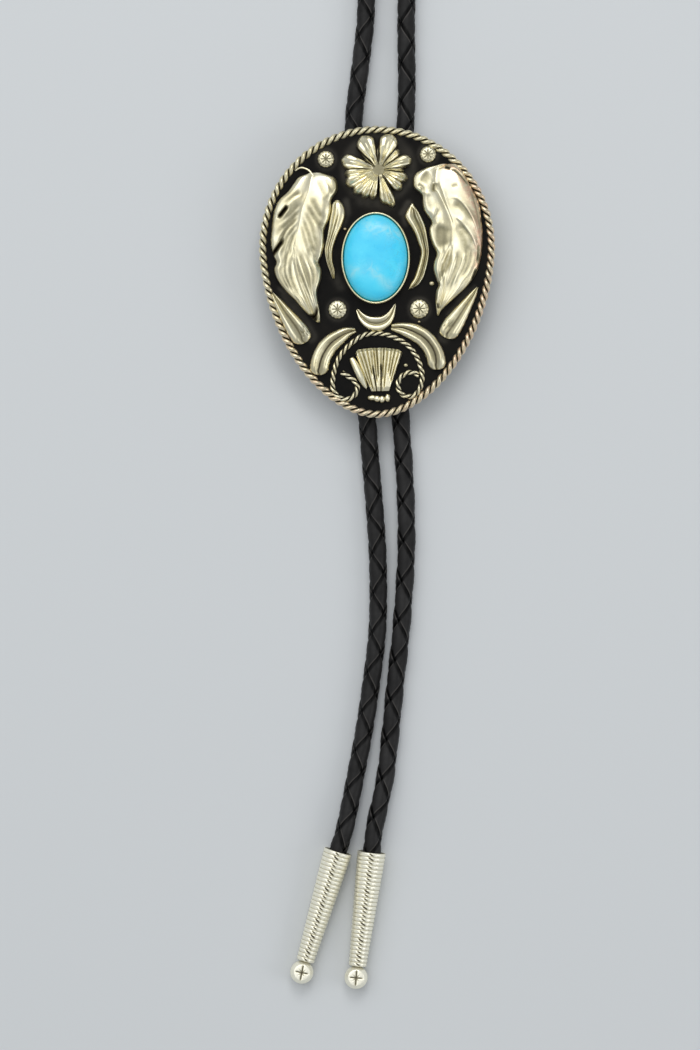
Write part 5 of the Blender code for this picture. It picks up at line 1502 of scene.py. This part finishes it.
def fan_shell():
    """A sheet that spreads from its bottom edge to its wide bowed top one: bottom + t (top - bottom). It
    swells low and round between each two grooves. A groove is a dip across, cut from its start to the top,
    or from the bottom up where that is minus."""
    share = np.linspace(0, 1, FAN_COLUMNS)[None]
    step = (np.linspace(0, 1, FAN_ROWS) ** 0.9)[:, None]
    top_share, *top = np.array(FAN_TOP).T
    bottom = np.array(FAN_BOTTOM).T
    upper = np.stack([np.interp(share, top_share, axis) for axis in on_slide(*top).T], axis=-1)
    lower = np.stack([np.interp(share, (0, 1), axis) for axis in on_slide(*bottom).T], axis=-1)
    flat = lower + step[..., None] * (upper - lower)
    groove, cut = np.zeros(flat.shape[:2]), np.zeros(flat.shape[:2])
    for at, width, dark, begin in FAN_GROOVES:
        here = dip(share - at - 0.006 * np.sin(9 * step + 20 * at), width)
        reach = ease(step, begin - 0.05, begin + 0.10)
        if begin < 0:
            reach = 1 - 0.6 * ease(step, -begin, 0.1 - begin)
        groove = np.maximum(groove, dark * here * reach)
        cut = np.maximum(cut, dip(share - at, 2.2 * width) * reach)
    level = np.interp(step, (0, 0.08, 0.5, 0.93, 1.0), (0.55, 0.78, 0.95, 1.0, 0.66))
    edge = 1 - 0.35 * ease(np.abs(2 * share - 1), 0.94, 1.0)
    height = PLATE_FRONT + FAN_RISE * level * edge * (1 - 0.16 * cut - 0.30 * groove)
    return soldered_shell(np.dstack([flat, height]), np.clip(groove, 0, 1))


def lump_shell(u, v, along, across, rise):
    """A low oval lump: rings of an ellipse under the curve (1 - share^2.4)^0.5."""
    turn = np.linspace(0, 2 * math.pi, LUMP_SIDES, endpoint=False)[None]
    share = np.linspace(0.04, 1, LUMP_RINGS)[:, None]
    oval = 1 / np.hypot(np.cos(turn) / along, np.sin(turn) / across) * SLIDE_WIDTH / 2
    height = PLATE_FRONT + rise * (0.35 + 0.65 * (1 - share ** 2.4) ** 0.5) + 0 * turn
    return round_shell(on_slide(u, v), share * oval, turn, height, 0.45 * share ** 6 + 0 * turn)


FILED_SILVER = silver_finish("filed_silver", 0.52, 460.0)
drops = {
    "left_teardrop": (LEFT_TEARDROP, TEARDROP_TARNISH),
    "right_teardrop": (RIGHT_TEARDROP, TEARDROP_TARNISH),
    "left_curved_drop": (LEFT_CURVED_DROP, CURVED_DROP_TARNISH),
    "right_curved_drop": (RIGHT_CURVED_DROP, CURVED_DROP_TARNISH),
}
filed_pieces = {
    "left_horn": horn_shell(LEFT_HORN, LEFT_HORN_GROOVES),
    "right_horn": horn_shell(RIGHT_HORN, RIGHT_HORN_GROOVES),
}
for name, (rows, tarnish) in drops.items():
    filed_pieces[name] = band_shell(rows, GROOVED_SECTION, DROP_RISE, tarnish, name, blunt=True)
filed_pieces["crescent"] = band_shell(CRESCENT, CRESCENT_SECTION, CRESCENT_RISE, CRESCENT_TARNISH)
filed_pieces["fan"] = fan_shell()
filed_pieces["fan_side_flute"] = band_shell(FAN_SIDE_FLUTE, ROUND_SECTION, FAN_RISE)
for name, part in filed_pieces.items():
    add_soldered(name, [part], FILED_SILVER)
add_soldered("fan_foot", [lump_shell(*lump, 0.75 * FAN_RISE) for lump in FOOT_LUMPS], FILED_SILVER)

# The scroll of rope wire
# Two finer wires twisted into a rope, which is bent round the fan with a curl at each end and soldered flat
# on the plate.
SCROLL_WIRE_DIAMETER = 0.00115
SCROLL_LOBE = 0.00157
SCROLL_POINTS = 600
# u, v, from the inner end of the left curl to the end of the right one
SCROLL = [
    (-0.296, -0.687),
    (-0.247, -0.712),
    (-0.195, -0.742),
    (-0.165, -0.795),
    (-0.195, -0.846),
    (-0.253, -0.869),
    (-0.318, -0.858),
    (-0.362, -0.818),
    (-0.376, -0.761),
    (-0.355, -0.653),
    (-0.306, -0.566),
    (-0.218, -0.489),
    (-0.103, -0.430),
    (0.028, -0.421),
    (0.144, -0.447),
    (0.253, -0.497),
    (0.337, -0.583),
    (0.378, -0.679),
    (0.380, -0.740),
    (0.362, -0.795),
    (0.325, -0.836),
    (0.271, -0.852),
    (0.214, -0.838),
    (0.180, -0.796),
    (0.180, -0.750),
    (0.212, -0.711),
    (0.262, -0.688),
    (0.318, -0.690),
    (0.352, -0.712),
]
scroll_line = smooth_route([tuple(on_slide(u, v)) for u, v in SCROLL], SCROLL_POINTS)
scroll_height = np.full(SCROLL_POINTS, PLATE_FRONT + 0.3 * SCROLL_WIRE_DIAMETER)
scroll_path = np.column_stack([scroll_line, scroll_height])
scroll_turns = distances(scroll_path)[-1] / (2 * SCROLL_LOBE)
scroll_parts = rope_parts(scroll_path, SCROLL_WIRE_DIAMETER, scroll_turns, closed=False)
add_soldered("rope_scroll", scroll_parts, ROPE_SILVER)

# The solder spots
# Small drops of silver solder that ran out from under the pieces and set on the plate. The torch has
# flashed some of them copper pink.
SPOT_RISE = 0.0005
SPOT_TARNISH = 0.35
# u, v, half width as a share of half the slide's width, and how pink
SOLDER_SPOTS = [
    (0.489, 0.850, 0.020, 1.0),
    (0.355, -0.340, 0.014, 1.0),
    (0.243, -0.637, 0.020, 0.0),
    (0.463, -0.079, 0.024, 0.5),
    (-0.271, 0.293, 0.016, 1.0),
]
spots, pinks = [], []
for u, v, half, pink in SOLDER_SPOTS:
    shell, hollow = lump_shell(u, v, half, 0.8 * half, SPOT_RISE)
    spots.append((shell, hollow + SPOT_TARNISH))
    pinks.append(np.full(hollow.shape, pink))
add_soldered("solder_spots", spots, FILED_SILVER, pinks)

# The floor and the lights
# A plain pale matt floor lies under the tie. A wide soft box hangs high over it, a smaller one shines from
# beyond its top and another from its right, and the surround is dim and even.
FLOOR_SIZE = 12.0
FLOOR_HEIGHT = -0.00005
FLOOR_COLOUR = (0.60, 0.62, 0.63, 1.0)
SURROUND_COLOUR = (0.80, 0.83, 0.86, 1.0)
SURROUND_STRENGTH = 0.55
# Each light: place, size and power. All of them shine at the origin.
LIGHTS = {
    "soft_box": ((-0.30, 0.35, 1.00), 1.30, 6.4),
    "top_box": ((0.05, 0.60, 0.75), 0.40, 1.9),
    "side_box": ((0.75, -0.25, 0.55), 0.45, 1.2),
}

bpy.ops.mesh.primitive_plane_add(size=FLOOR_SIZE, location=(0, 0, FLOOR_HEIGHT))
floor = bpy.context.object
floor.name = "floor"
floor.data.materials.append(finish_of("floor", Roughness=0.9, Base_Color=FLOOR_COLOUR)[0])
for name, (place, size, power) in LIGHTS.items():
    light = bpy.data.objects.new(name, bpy.data.lights.new(name, "AREA"))
    bpy.context.scene.collection.objects.link(light)
    light.data.size = size
    light.data.energy = power
    light.location = place
    light.rotation_mode = "QUATERNION"
    light.rotation_quaternion = light.location.to_track_quat("Z", "Y")
surround = bpy.data.worlds.new("surround")
bpy.context.scene.world = surround
surround.use_nodes = True
surround.node_tree.nodes["Background"].inputs["Color"].default_value = SURROUND_COLOUR
surround.node_tree.nodes["Background"].inputs["Strength"].default_value = SURROUND_STRENGTH
bpy.context.scene.view_settings.view_transform = "Standard"
